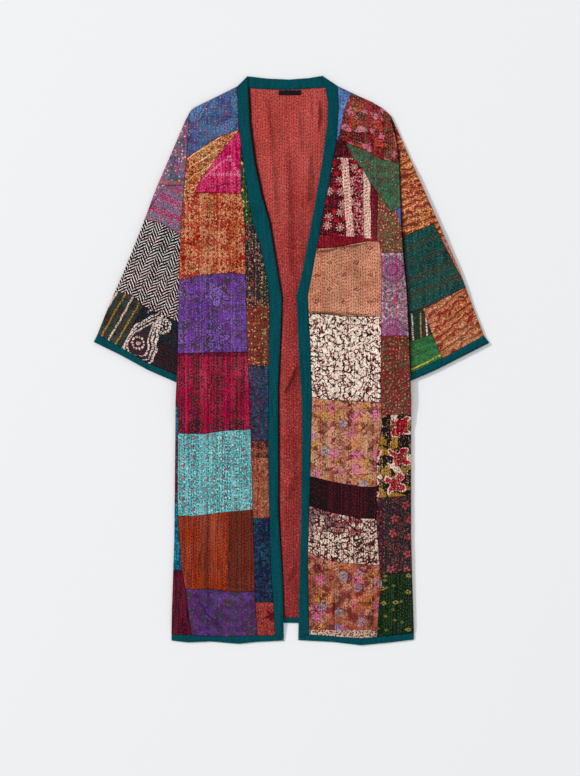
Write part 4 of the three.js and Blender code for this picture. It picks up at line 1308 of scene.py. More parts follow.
@dataclass
class Mesh:
    """Vertices and triangles of a piece, with the material and the distance to its edge, which the materials
    turn into painted shade and which also carries painted shadows.
    """

    points: np.ndarray
    faces: np.ndarray
    slots: np.ndarray
    edge: np.ndarray | None = None

    def build(self, name: str, materials: Sequence[bpy.types.Material]) -> bpy.types.Object:
        """Turn the arrays into an object of the coat's body.

        Args:
            name: The piece's name.
            materials: Its materials, in the order of the slots.

        Returns:
            The object, linked to the scene.
        """
        mesh = bpy.data.meshes.new(name)
        count = len(self.faces)
        mesh.vertices.add(len(self.points))
        mesh.vertices.foreach_set("co", (self.points * MM).astype(np.float32).ravel())
        mesh.loops.add(count * 3)
        mesh.loops.foreach_set("vertex_index", self.faces.astype(np.int32).ravel())
        mesh.polygons.add(count)
        mesh.polygons.foreach_set("loop_start", np.arange(0, count * 3, 3, dtype=np.int32))
        mesh.polygons.foreach_set("use_smooth", np.ones(count, dtype=bool))
        for material in materials:
            mesh.materials.append(material)
        mesh.polygons.foreach_set("material_index", self.slots.astype(np.int32))
        # The edge attribute: the distance to the piece's edge, lowered where a painted shadow lies; the
        # materials paint shade where it is small.
        attribute = mesh.attributes.new("edge", "FLOAT", "POINT")
        edge = np.full(len(self.points), FAR) if self.edge is None else self.edge
        attribute.data.foreach_set("value", edge.astype(np.float32))
        mesh.update(calc_edges=True)
        mesh.validate()
        piece = bpy.data.objects.new(name, mesh)
        bpy.context.scene.collection.objects.link(piece)
        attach(piece, BODY)
        LOG.info("%s: %d triangles", name, count)
        return piece


class Outline:
    """A closed outline of cloth seen from above, counter-clockwise, in millimetres."""

    SAME = 0.05
    STRAIGHT = 0.03
    TINY = 1e-9
    LOOKS_UP = 0.5
    DIGITS = 3
    TURN_STEP = 2.5

    def __init__(self, points: np.ndarray) -> None:
        """Hold the corners."""
        self.points = points if self.signed(points) > 0 else points[::-1]

    @staticmethod
    def signed(points: np.ndarray) -> float:
        """Give an outline's area, below 0 where it runs clockwise."""
        x, y = points.T
        return float(np.sum(x * np.roll(y, -1) - np.roll(x, -1) * y) / 2)

    @classmethod
    def of_node(cls, node: bpy.types.Object) -> Outline:
        """Take the outline of a laid CAD solid from the rim of the faces that look up.

        Args:
            node: The solid's object.

        Returns:
            The outline, without the points along straight stretches.
        """
        mesh = node.data
        mesh.calc_loop_triangles()
        co = np.zeros(len(mesh.vertices) * 3)
        mesh.vertices.foreach_get("co", co)
        corners = np.zeros(len(mesh.loop_triangles) * 3, dtype=np.int32)
        mesh.loop_triangles.foreach_get("vertices", corners)
        keys, merged = np.unique(np.round(co.reshape(-1, 3) / MM, cls.DIGITS), axis=0, return_inverse=True)
        tris = merged.reshape(-1)[corners.reshape(-1, 3)]
        a, b, c = (keys[tris[:, i]] for i in range(3))
        normal = np.cross(b - a, c - a)
        normal /= np.maximum(np.linalg.norm(normal, axis=1, keepdims=True), cls.TINY)
        up = tris[normal[:, 2] > cls.LOOKS_UP]
        ways = {(int(p), int(q)) for t in up for p, q in zip(t, np.roll(t, -1))}
        following = {p: q for p, q in ways if (q, p) not in ways}
        loops = []
        while following:
            start, after = following.popitem()
            loop = [start]
            while after != start and after in following:
                loop.append(after)
                after = following.pop(after)
            loops.append(keys[loop][:, :2])
        return cls(max(loops, key=lambda loop: abs(cls.signed(loop)))).tidied()

    def tidied(self) -> Outline:
        """Drop points that add nothing to the shape."""
        points = self.points
        points = points[np.linalg.norm(points - np.roll(points, 1, axis=0), axis=1) > self.SAME]
        before, after = np.roll(points, 1, axis=0), np.roll(points, -1, axis=0)
        side, step = after - before, points - before
        length = np.maximum(np.linalg.norm(side, axis=1), self.TINY)
        bulge = np.abs(side[:, 0] * step[:, 1] - side[:, 1] * step[:, 0]) / length
        return Outline(points[bulge > self.STRAIGHT])

    def area(self) -> float:
        """Give the area inside."""
        return abs(self.signed(self.points))

    def pushed(self, past: float, by: float) -> Outline:
        """Move the corners beyond an X along X, so that the cloth reaches under its neighbour."""
        points = self.points.copy()
        beyond = points[:, 0] > past if by > 0 else points[:, 0] < past
        points[beyond, 0] += by
        return Outline(points)

    def spans(self) -> Point:
        """Give the width and the length of the smallest rectangle that it can be cut from."""
        best = (math.inf, math.inf)
        for angle in np.radians(np.arange(0.0, 90.0, self.TURN_STEP)):
            way = np.array([[math.cos(angle), -math.sin(angle)], [math.sin(angle), math.cos(angle)]])
            turned = self.points @ way
            sides = turned.max(axis=0) - turned.min(axis=0)
            best = min(best, (float(sides.min()), float(sides.max())), key=lambda pair: pair[0] * pair[1])
        return best

    def sides(self) -> tuple[np.ndarray, np.ndarray]:
        """Give where each side starts and ends."""
        return self.points, np.roll(self.points, -1, axis=0)

    def distance(self, places: np.ndarray) -> np.ndarray:
        """Give how far places are from the outline."""
        best = np.full(len(places), np.inf)
        for start, end in zip(*self.sides()):
            way = end - start
            t = np.clip(((places - start) @ way) / max(way @ way, self.TINY), 0, 1)
            best = np.minimum(best, np.hypot(*(places - start - t[:, None] * way).T))
        return best

    def holds(self, places: np.ndarray) -> np.ndarray:
        """Say which places are inside."""
        x, y = places.T
        inside = np.zeros(len(places), dtype=bool)
        for (x1, y1), (x2, y2) in zip(*self.sides()):
            if y1 != y2:
                crosses = (y1 > y) != (y2 > y)
                inside ^= crosses & (x < (x2 - x1) * (y - y1) / (y2 - y1) + x1)
        return inside

    def kept(self, places: np.ndarray, inside: float) -> np.ndarray:
        """Say which places are inside by more than a distance."""
        keep = self.holds(places)
        keep[keep] = self.distance(places[keep]) > inside
        return keep

    def walked(self, step: float) -> tuple[np.ndarray, np.ndarray]:
        """Walk round the outline in even steps, and keep its corners.

        Args:
            step: The longest step.

        Returns:
            The places along the outline, and the direction inwards at each.
        """
        places, inward = [], []
        for start, end in zip(*self.sides()):
            way = end - start
            length = float(np.hypot(*way))
            parts = max(1, math.ceil(length / step))
            places.extend(start + way * i / parts for i in range(parts))
            inward.extend([np.array([-way[1], way[0]]) / max(length, self.TINY)] * parts)
        eased = np.array(inward) + np.roll(inward, 1, axis=0)
        eased /= np.maximum(np.linalg.norm(eased, axis=1, keepdims=True), self.TINY)
        return np.array(places), eased


def triangulated(places: np.ndarray, rim: int) -> np.ndarray:
    """Join places inside an outline into triangles.

    Args:
        places: The places, with those round the outline first.
        rim: How many of them are round the outline.

    Returns:
        The triangles, counter-clockwise, as indices of the places.
    """
    made = delaunay_2d_cdt([Vector(p) for p in places], [], [list(range(rim))], 1, MERGE_WITHIN)
    origin = [ids[0] if ids else -1 for ids in made[3]]
    tris = np.array([[origin[i] for i in face] for face in made[2] if len(face) == 3])
    tris = tris[(tris >= 0).all(axis=1)]
    a, b, c = (places[tris[:, i]] for i in range(3))
    turn = (b[:, 0] - a[:, 0]) * (c[:, 1] - a[:, 1]) - (b[:, 1] - a[:, 1]) * (c[:, 0] - a[:, 0])
    tris[turn < 0] = tris[turn < 0][:, ::-1]
    return tris[np.abs(turn) > TINY_TRIANGLE]


def meshed(
    across: np.ndarray, along: np.ndarray, column_shift: float = 0.0, row_shift: float = 0.0
) -> np.ndarray:
    """Give the crossings of two sets of lines, where every second column or row may be shifted."""
    u, v = np.meshgrid(across, along)
    v = v + (np.arange(u.shape[1]) % 2) * column_shift
    u = u + (np.arange(u.shape[0]) % 2)[:, None] * row_shift
    return np.stack([u.ravel(), v.ravel()], axis=1)


def waver(row: Values, along: Values) -> Values:
    """Give how far a hand-sewn row strays sideways along its way."""
    return sum(reach * np.sin(along / length + row * shift) for reach, length, shift in ROW_WAVERS)


def scattered(row: Values, way: float) -> Values:
    """Give a number of 0 to 1 for each row that looks random."""
    return np.mod(np.sin(row * way) * SCATTER, 1.0)


@dataclass
class Quilting:
    """Rows of running stitch through a piece of cloth, at an angle to Y."""

    grain: float = 0.0
    ROUND = 2 * math.pi
    SHARPNESS = 1.5
    KNOT_DEPTH = 0.2
    KNOT_SHIFT = 0.37
    POINTS_A_ROW = 3
    POINT_SHARE = 0.8
    INSIDE = 2.4
    PHASE_WAY = 12.9
    STRAY_ALONG = 1.2
    STRAY_ACROSS = 0.8
    STRAY_TURN = 0.1
    LENGTHS = (0.72, 1.18)

    def turned(self, places: np.ndarray, back: bool = False) -> np.ndarray:
        """Turn places into the frame of the rows, or back."""
        angle = -self.grain if back else self.grain
        cosine, sine = math.cos(angle), math.sin(angle)
        x, y = places.T
        return np.stack([x * cosine + y * sine, y * cosine - x * sine], axis=1)

    def furrow(self, x: Values, y: Values) -> Values:
        """Give how deep the rows press into the cloth at each place."""
        across, along = self.turned(np.stack([x, y], axis=1)).T
        row = np.round(across / ROW_PITCH)
        stray = across - waver(row, along) * 0.5
        ripple = 0.5 + 0.5 * np.cos(stray * self.ROUND / ROW_PITCH)
        knot = np.cos((along + row * STITCH_PITCH * self.KNOT_SHIFT) * self.ROUND / STITCH_PITCH)
        return FURROW * ripple**self.SHARPNESS * (1 - self.KNOT_DEPTH + self.KNOT_DEPTH * knot)

    def grid(self, outline: Outline, inside: float) -> np.ndarray:
        """Lay points along the rows of a piece.

        Args:
            outline: The piece's outline.
            inside: How far they stay from it.

        Returns:
            The points.
        """
        turned = self.turned(outline.points)
        (left, bottom), (right, top) = turned.min(axis=0), turned.max(axis=0)
        step = STITCH_PITCH * self.POINT_SHARE
        first = math.floor(left / ROW_PITCH) * ROW_PITCH
        across = np.arange(first, right + ROW_PITCH, ROW_PITCH / self.POINTS_A_ROW)
        along = np.arange(math.floor(bottom / STITCH_PITCH) * STITCH_PITCH, top + STITCH_PITCH, step)
        places = self.turned(meshed(across, along, column_shift=step / 2), back=True)
        return places[outline.kept(places, inside)]

    def stitches(self, outline: Outline, seed: int) -> np.ndarray:
        """Place the stitches of a piece.

        Args:
            outline: The piece's outline.
            seed: Which hand unevenness.

        Returns:
            For each stitch its middle, its heading, its length and its row.
        """
        turned = self.turned(outline.points)
        pitch = np.array([ROW_PITCH, STITCH_PITCH])
        low, high = np.floor(turned.min(axis=0) / pitch), np.ceil(turned.max(axis=0) / pitch)
        r, s = meshed(np.arange(low[0], high[0] + 1), np.arange(low[1], high[1] + 1)).T
        rng = np.random.default_rng(seed)

        def strayed(reach: float) -> np.ndarray:
            """Draw how far each stitch strays, up to a reach."""
            return rng.uniform(-reach, reach, len(r))

        along = (s + scattered(r, self.PHASE_WAY)) * STITCH_PITCH + strayed(self.STRAY_ALONG)
        across = r * ROW_PITCH + waver(r, along) + strayed(self.STRAY_ACROSS)
        places = self.turned(np.stack([across, along], axis=1), back=True)
        heading = self.grain + math.pi / 2 + strayed(self.STRAY_TURN)
        length = STITCH_LENGTH * rng.uniform(*self.LENGTHS, len(r))
        return np.column_stack([places, heading, length, r])[outline.kept(places, self.INSIDE)]

    def over(self, base: Surface, creases: Sequence[Fold], seed: int) -> Surface:
        """Give the upper face of quilted cloth: creased, uneven and pressed in along its rows."""
        uneven = heaved(base, HEAVES, (seed, seed + 1))
        return lambda x, y: uneven(x, y) + fold_rise(creases, x, y) - self.furrow(x, y)


@dataclass
class Shell:
    """A thin closed shell of cloth over an outline, with its edge rolled down."""

    outline: Outline
    under: Surface
    over: Surface
    quilting: Quilting | None = None
    roll: float = 1.3
    rim_step: float = 3.4
    step: float = 12.0
    fine: Outline | None = None
    creases: Sequence[Fold] = ()
    EDGE_SHARE = 0.3
    RING_SHARES = (0.35, 1.0)
    RING_SLACK = 0.85
    INNER_MARGIN = 1.5
    LOWER_MARGIN = 0.4

    def plain_grid(self, inside: float) -> np.ndarray:
        """Lay an even grid of points inside the outline."""
        low, high = self.outline.points.min(axis=0), self.outline.points.max(axis=0)
        across, along = (np.arange(low[i], high[i], self.step) for i in range(2))
        places = meshed(across, along, row_shift=self.step / 2)
        return places[self.outline.kept(places, inside)]

    def filling(self) -> np.ndarray:
        """Lay the points between the rolled edges: fine where the cloth is quilted and shows."""
        inside = self.roll * self.INNER_MARGIN
        if self.quilting is None:
            return self.plain_grid(inside)
        rows = self.quilting.grid(self.outline, inside)
        if self.fine is None:
            return rows
        plain = self.plain_grid(inside)
        near = self.fine.holds(plain) | (self.fine.distance(plain) < self.step / 2)
        return np.concatenate([rows[self.fine.holds(rows)], plain[~near]])

    def rings(self, rim: np.ndarray, inward: np.ndarray) -> np.ndarray:
        """Lay the points that carry the rolled edge."""
        rows = []
        for reach in (self.roll * share for share in self.RING_SHARES):
            places = rim + inward * reach
            rows.append(places[self.outline.kept(places, reach * self.RING_SLACK)])
        return np.concatenate(rows)

    def mesh(self) -> Mesh:
        """Make the shell: its upper face with a rolled edge, and its lower face."""
        rim, inward = self.outline.walked(self.rim_step)
        upper = np.concatenate([rim, self.rings(rim, inward), self.filling()])
        inner = self.plain_grid(self.step * self.LOWER_MARGIN)
        top = triangulated(upper, len(rim))
        bottom = triangulated(np.concatenate([rim, inner]), len(rim))
        bottom = np.where(bottom >= len(rim), bottom + len(upper) - len(rim), bottom)[:, ::-1]
        x, y = upper.T
        away = self.outline.distance(upper)
        away[: len(rim)] = 0.0
        low, high = self.under(x, y), self.over(x, y)
        edge = low + (high - low) * self.EDGE_SHARE
        t = np.clip(away / self.roll, 0, 1)
        z = edge + (high - edge) * np.sqrt(1 - (1 - t) ** 2)
        points = np.vstack([np.column_stack([upper, z]), np.column_stack([inner, self.under(*inner.T)])])
        slots = np.repeat([0, 1], [len(top), len(bottom)])
        # Painted shadow: the foot of each sharp tuck counts as an edge, so that the materials paint it dark.
        for crease in self.creases:
            away = np.minimum(away, crease.foot(x, y))
        return Mesh(points, np.concatenate([top, bottom]), slots, np.append(away, np.full(len(inner), FAR)))


@dataclass
class Workshop:
    """What the coat's classes share: the CAD's nodes, the wardrobe, and the ways to cut and to sew."""

    nodes: dict[str, bpy.types.Object]
    wardrobe: Wardrobe
    SMALLEST = 11.0
    UPPER = ((0, 1, 2), (0, 2, 3), (1, 4, 5), (1, 5, 2), (2, 5, 6), (2, 6, 3), (7, 5, 4), (7, 6, 5))
    LOWER = ((0, 3, 1), (3, 6, 4), (3, 4, 1), (6, 7, 4))
    THREAD_ENDS = 0.3

    def outline(self, node: str) -> Outline:
        """Take the outline of a node."""
        return Outline.of_node(self.nodes[node])

    def cut(
        self,
        name: str,
        slot: str,
        mesh: Mesh,
        materials: Sequence[bpy.types.Material],
        flat: Point,
        area: float,
        rests_on: Sequence[str] = (),
        node: str | None = None,
    ) -> None:
        """Build a piece of cloth, hide the node that it stands for and log the size that it is cut from.

        Args:
            name: The piece's name, before `_cloth`.
            slot: Not used.
            mesh: Its mesh.
            materials: The cloth that faces outwards and the one behind it.
            flat: The width and the length that it is cut from.
            area: Its area.
            rests_on: Not used.
            node: The node that it stands for, where that isn't its name.
        """
        piece = mesh.build(f"{name}_cloth", materials)
        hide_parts(node or name)
        width, length = flat
        width * MM
        length * MM
        min(area, width * length) * MM * MM
        LOG.info("%s_cloth: cut %.0f by %.0f mm", name, width, length)

    def sew(
        self,
        name: str,
        stitches: np.ndarray,
        over: Surface,
        threads: Sequence[Thread],
        slots: np.ndarray,
        width: float = STITCH_WIDTH,
    ) -> None:
        """Build stitches as one piece of small raised threads.

        Args:
            name: The piece's name.
            stitches: Middle, heading, length and row of each.
            over: The cloth's upper face.
            threads: The threads used.
            slots: Which of them each stitch is sewn with.
            width: The thread's width.
        """
        heading, length = stitches[:, 2:4].T
        along = np.stack([np.cos(heading), np.sin(heading)], axis=1)
        across = np.stack([along[:, 1], -along[:, 0]], axis=1)
        corners = [(-0.5, 0, -THREAD_SINK)]
        for end in (-self.THREAD_ENDS, self.THREAD_ENDS):
            corners += [(end, 0.5, 0.0), (end, 0.0, STITCH_RISE), (end, -0.5, 0.0)]
        corners.append((0.5, 0, -THREAD_SINK))
        rows = []
        for forward, sideways, lift in corners:
            where = stitches[:, :2] + along * (forward * length)[:, None] + across * (sideways * width)
            rows.append(np.column_stack([where, over(*where.T) + lift]))
        points = np.stack(rows, axis=1).reshape(-1, 3)
        template = np.array(self.UPPER + self.LOWER)
        first = np.arange(len(stitches))[:, None, None] * len(corners)
        mesh = Mesh(points, (template + first).reshape(-1, 3), np.repeat(slots, len(template)))
        mesh.build(name, [self.wardrobe.threads[thread] for thread in threads])


@dataclass
class PatchGroup:
    """The patches of one panel, and the stitches that quilt them to it.

    Where another panel, shaded_by, lies over the patches, they darken within `shade` of its edge.
    """

    panel: str
    patches: tuple[str, ...]
    base: Surface
    creases: tuple[Fold, ...]
    grain: float
    seed: int
    shaded_by: str | None = None
    shade: float = 3.8
    THREAD_WAY = 78.2
    SEEDS_A_PANEL = 100

    @classmethod
    def picked(cls, stitches: np.ndarray, count: int) -> np.ndarray:
        """Say which of a number of threads each row is sewn with, unevenly as by hand."""
        return (scattered(stitches[:, 4], cls.THREAD_WAY) * count).astype(int)

    def build(self, shop: Workshop) -> None:
        """Build the patches, then their stitches as one piece."""
        quilting = Quilting(self.grain)
        threads = list(Thread)
        under = raised(self.base, SEAM_GAP)
        over = quilting.over(raised(under, PATCH_WALL), self.creases, self.seed)
        body = shop.outline(self.shaded_by) if self.shaded_by else None
        sewn, chosen = [], []
        for index, patch in enumerate(self.patches):
            outline = shop.outline(f"patch_{patch}")
            mesh = Shell(outline, under, over, quilting, creases=self.creases).mesh()
            stitches = quilting.stitches(outline, self.seed * self.SEEDS_A_PANEL + index)
            if body is not None:
                mesh.edge = np.minimum(mesh.edge, body.distance(mesh.points[:, :2]) - self.shade)
                stitches = stitches[body.distance(stitches[:, :2]) > self.shade]
            fabric = PRINTS[patch]
            materials = [shop.wardrobe.cotton(f"cotton_{patch}", fabric), shop.wardrobe.lining]
            flat, area = outline.spans(), outline.area()
            panel = [f"{self.panel}_cloth"]
            shop.cut(patch, f"cloth_{patch}", mesh, materials, flat, area, panel, f"patch_{patch}")
            sewn.append(stitches)
            own = np.array([threads.index(thread) for thread in fabric.threads])
            chosen.append(own[self.picked(stitches, len(own))])
        shop.sew(f"{self.panel}_quilting", np.concatenate(sewn), over, threads, np.concatenate(chosen))


@dataclass
class BackPanel:
    """The back, whose lining side shows between the fronts, with its label.

    A painted shadow darkens the lining beside the edge of the right band, as wide as the low width at the
    hem and the high width at the neck.
    """

    seed: int = 11
    margin: float = 9.0
    gap_low: float = 3.4
    gap_high: float = 5.4
    gap_widens: Point = (100.0, 420.0)
    gap_inside: float = -6.0
    levels: tuple[float, float, int] = (568.0, -548.0, 40)

    def from_gap(self, x: Values, y: Values) -> Values:
        """Give how far the lining is from the painted shadow beside the edge of the right band."""
        beside = x - Drape.edge_x(BAND_RIGHT_INNER, y)
        reach = self.gap_low + (self.gap_high - self.gap_low) * smoothstep(y, *self.gap_widens)
        return np.where(beside > self.gap_inside, beside - reach, FAR)

    def opening(self, shop: Workshop) -> Outline:
        """Give the gap between the bands where the lining shows, a little wider than it is."""
        levels = np.linspace(*self.levels)
        lines = []
        for name, side, by in (("neckband_right", max, -self.margin), ("neckband_left", min, self.margin)):
            starts, ends = shop.outline(name).sides()
            edge = [
                side(
                    p[0] + (q[0] - p[0]) * (level - p[1]) / (q[1] - p[1])
                    for p, q in zip(starts, ends)
                    if (p[1] - level) * (q[1] - level) < 0
                )
                for level in levels
            ]
            lines.append(np.column_stack([np.array(edge) + by, levels]))
        return Outline(np.vstack([lines[0], lines[1][::-1]]))

    def build(self, shop: Workshop) -> None:
        """Build the back, its stitches and its label."""
        wardrobe = shop.wardrobe
        quilting = Quilting()
        opening, outline = self.opening(shop), shop.outline("back")
        over = quilting.over(Drape.back_over, LINING_CREASES, self.seed)
        mesh = Shell(outline, Drape.back_under, over, quilting, fine=opening, creases=LINING_CREASES).mesh()
        # Painted shadow of the right band's edge on the lining.
        mesh.edge = np.minimum(mesh.edge, self.from_gap(*mesh.points[:, :2].T))
        materials = [wardrobe.lining, wardrobe.outside]
        shop.cut("back", "lining", mesh, materials, outline.spans(), outline.area())
        stitches = quilting.stitches(outline, self.seed)
        stitches = stitches[opening.holds(stitches[:, :2])]
        stitches = stitches[self.from_gap(*stitches[:, :2].T) > STITCH_WIDTH / 2]
        threads = LINING.threads
        shop.sew("lining_quilting", stitches, over, threads, PatchGroup.picked(stitches, len(threads)))
        self.build_label(shop)

    def build_label(self, shop: Workshop) -> None:
        """Build the bare label below the neck, of finer cloth than the rest."""
        outline = shop.outline("label")
        under = raised(Drape.back_over, SEAM_GAP)
        mesh = Shell(outline, under, raised(under, LABEL_WALL), roll=0.5, rim_step=1.5, step=2.0).mesh()
        material = shop.wardrobe.cotton("woven_label", LABEL_CLOTH, shop.wardrobe.LABEL_PUCKER)
        flat, area = outline.spans(), outline.area()
        shop.cut("label", "label_black", mesh, [material, material], flat, area, ["back_cloth"])


@dataclass(frozen=True)
class Binding:
    """A plain band or hem binding: what it lies on, how thick it is and where it reaches under a neighbour.

    Each overlap says past which X its corners move, and by how much.
    """

    name: str
    under: Surface = Drape.front_under
    wall: float = BINDING_WALL
    overlaps: tuple[Point, ...] = ()


BINDINGS = (
    Binding("neckband_right"),
    Binding("neckband_left"),
    Binding("hem_front_right", overlaps=((-45.0, 2.4),)),
    Binding("hem_front_left", overlaps=((45.0, -2.4),)),
    Binding("neckband_back", Drape.back_under, overlaps=((60.0, 2.0), (-60.0, -1.0))),
    Binding("hem_back", Drape.back_under, BACK_WALL),
)


@dataclass
class BindingMaker:
    """Folds the bindings over their edges and topstitches them."""

    roll: float = 1.0
    rim_step: float = 4.0
    step: float = 5.0
    seed: int = 31
    topstitch_inside: float = 2.6
    topstitch_pitch: float = 3.4
    topstitch_length: float = 2.4
    topstitch_width: float = 0.6
    curved_share: float = 0.32
    SHORT_WAVE_SEED = 9
    EDGE_SLACK = 0.8

    def topstitches(self, outline: Outline) -> np.ndarray:
        """Place a row of machine stitches along the binding's edges."""
        places, inward = outline.walked(self.topstitch_pitch)
        after = np.roll(places, -1, axis=0)
        way = after - places
        middle = (places + after) / 2 + inward * self.topstitch_inside
        whole = np.hypot(*way.T) > self.topstitch_length
        good = outline.kept(middle, self.topstitch_inside * self.EDGE_SLACK) & whole
        heading = np.arctan2(way[good, 1], way[good, 0])
        same = np.ones(len(heading))
        return np.column_stack([middle[good], heading, same * self.topstitch_length, same])

    def build(self, shop: Workshop) -> None:
        """Build each binding and its topstitching."""
        for seed, binding in enumerate(BINDINGS, self.seed):
            outline = shop.outline(binding.name)
            for past, by in binding.overlaps:
                outline = outline.pushed(past, by)
            seeds = (seed, seed + self.SHORT_WAVE_SEED)
            over = heaved(raised(binding.under, binding.wall), BINDING_HEAVES, seeds)
            shell = Shell(outline, binding.under, over, None, self.roll, self.rim_step, self.step)
            mesh = shell.mesh()
            mesh.edge = None
            area = outline.area()
            flat = outline.spans()
            if area < self.curved_share * flat[0] * flat[1]:
                flat = (area / max(flat), max(flat))
            flat = tuple(max(side, shop.SMALLEST) for side in flat)
            teal = shop.wardrobe.teal
            shop.cut(binding.name, "teal_binding", mesh, [teal, teal], flat, area, ["back_cloth"])
            stitches = self.topstitches(outline)
            slots = np.zeros(len(stitches))
            shop.sew(f"{binding.name}_topstitch", stitches, over, [Thread.TEAL], slots, self.topstitch_width)


@dataclass
class FlatTube:
    """A tube of cloth laid flat: a sleeve or a cuff binding.

    Its four sides run from its tucked edge to its outer edge, and from the body's end to the mouth.
    """

    name: str
    slot: str
    near: tuple[Point, ...]
    far: tuple[Point, ...]
    tucked: tuple[Point, ...]
    outer: tuple[Point, ...]
    over: Surface
    wall: float
    step: float = 7.0
    FINE_SHARES = (0.0, 0.0035, 0.009)
    CUT_SLACK = 1.25
    FEWEST_ROWS = 4
    FEWEST_STEPS = 6

    @staticmethod
    def along(line: Sequence[Point], shares: np.ndarray) -> np.ndarray:
        """Give the places at shares of a line's length."""
        points = np.array(line, dtype=float)
        steps = np.r_[0, np.cumsum(np.hypot(*np.diff(points, axis=0).T))]
        return np.column_stack([np.interp(shares * steps[-1], steps, points[:, i]) for i in range(2)])

    def place(self, u: np.ndarray, v: np.ndarray) -> np.ndarray:
        """Give the places across the tube at u and along it at v."""
        near, far = self.along(self.near, u), self.along(self.far, u)
        tucked, outer = self.along(self.tucked, v), self.along(self.outer, v)
        u, v = u[:, None], v[:, None]
        corners = (
            (1 - u) * (1 - v) * self.near[0]
            + u * (1 - v) * self.near[-1]
            + (1 - u) * v * self.far[0]
            + u * v * self.far[-1]
        )
        return (1 - v) * near + v * far + (1 - u) * tucked + u * outer - corners

    def skin(self, inset: float, rows: np.ndarray, shares: np.ndarray) -> np.ndarray:
        """Lay the rings of points of the outer or inner skin."""
        width = math.dist(self.far[0], self.far[-1])
        margin = inset / width
        half = []
        for side in (1, -1):
            across = shares if side > 0 else shares[::-1][1:-1]
            u, v = (part.ravel() for part in np.meshgrid(margin + (1 - 2 * margin) * across, rows))
            places = self.place(u, v)
            middle = self.over(*places.T) / 2
            bend = np.clip(np.minimum(u - margin, 1 - margin - u) * width / middle, 0, 1)
            z = middle + side * (middle - inset) * np.sqrt(1 - (1 - bend) ** 2)
            half.append(np.column_stack([places, z]).reshape(len(rows), len(across), 3))
        return np.concatenate(half, axis=1)

    @staticmethod
    def strip(one: np.ndarray, other: np.ndarray, outward: bool) -> list[np.ndarray]:
        """Join two closed rows of points, or two sets of them, with triangles."""
        corners = [one, other, np.roll(other, -1, axis=-1), np.roll(one, -1, axis=-1)]
        quads = np.stack(corners if outward else corners[::-1], axis=-1).reshape(-1, 4)
        return [quads[:, [0, 1, 2]], quads[:, [0, 2, 3]]]

    def mesh(self) -> Mesh:
        """Make the tube: an outer and an inner skin, joined at both open ends."""
        length = math.dist(self.near[0], self.far[0])
        width = math.dist(self.far[0], self.far[-1])
        rows = np.linspace(0, 1, max(self.FEWEST_ROWS, round(length / self.step)))
        evenly = np.linspace(0, 1, max(self.FEWEST_STEPS, round(width / self.step)))
        fine = np.array(self.FINE_SHARES)
        shares = np.unique(np.r_[fine, evenly[1:-1], 1 - fine])
        skins = [self.skin(inset, rows, shares) for inset in (0.0, self.wall)]
        points = np.concatenate([skin.reshape(-1, 3) for skin in skins])
        outer, inner = np.arange(len(points)).reshape(2, len(rows), -1)
        faces = [
            *self.strip(outer[:-1], outer[1:], True),
            *self.strip(inner[:-1], inner[1:], False),
            *self.strip(outer[0], inner[0], False),
            *self.strip(outer[-1], inner[-1], True),
        ]
        slots = np.repeat([0, 1], [2 * len(faces[0]), sum(map(len, faces[2:]))])
        stacked = np.concatenate(faces)
        if not self.outward(points, stacked[slots == 0]):
            stacked = stacked[:, ::-1]
        return Mesh(points, stacked, slots)

    @staticmethod
    def outward(points: np.ndarray, faces: np.ndarray) -> bool:
        """Say whether the outer skin's faces point outwards."""
        a, b, c = (points[faces[:, i]] for i in range(3))
        normal = np.cross(b - a, c - a)
        return float(np.sum(normal * ((a + b + c) / 3 - points.mean(axis=0)))) > 0

    def build(self, shop: Workshop, materials: list[bpy.types.Material]) -> None:
        """Build the tube as one piece, cut as its whole way round by its length."""
        mesh = self.mesh()
        a, b, c = (mesh.points[mesh.faces[:, i]] for i in range(3))
        area = float(np.linalg.norm(np.cross(b - a, c - a), axis=1).sum() / 4)
        whole_way = 2 * max(math.dist(self.far[0], self.far[-1]), math.dist(self.near[0], self.near[-1]))
        length = max(area / whole_way * self.CUT_SLACK, shop.SMALLEST)
        shop.cut(self.name, self.slot, mesh, materials, (whole_way, length), area)


@dataclass(frozen=True)
class SleeveLines:
    """The lines of one laid sleeve: its armhole, outer edge and mouth, and the free edge of its cuff."""

    armhole: tuple[Point, ...]
    outer: tuple[Point, ...]
    mouth: tuple[Point, ...]
    edge: tuple[Point, ...]


SLEEVES = {
    "right": SleeveLines(
        armhole=((-232, 264), (-227, 337), (-220, 425), (-213, 522)),
        outer=(
            (-213, 522), (-222, 505), (-249, 442), (-285, 358), (-316, 274), (-350, 190), (-387, 106),
            (-407, 55),
        ),
        mouth=((-216, -35), (-243, -30), (-301, -6), (-360, 28), (-407, 55)),
        edge=((-215, -49), (-243, -45), (-301, -20), (-360, 12), (-415, 39)),
    ),
    "left": SleeveLines(
        armhole=((230, 278), (228, 364), (225, 432), (215, 482), (209, 512)),
        outer=(
            (209, 512), (222, 484), (259, 400), (295, 316), (333, 232), (352, 190), (383, 106), (404, 52),
        ),
        mouth=((218, -34), (253, -26), (318, 5), (359, 27), (404, 52)),
        edge=((217, -48), (252, -42), (301, -21), (366, 12), (415, 37)),
    ),
}


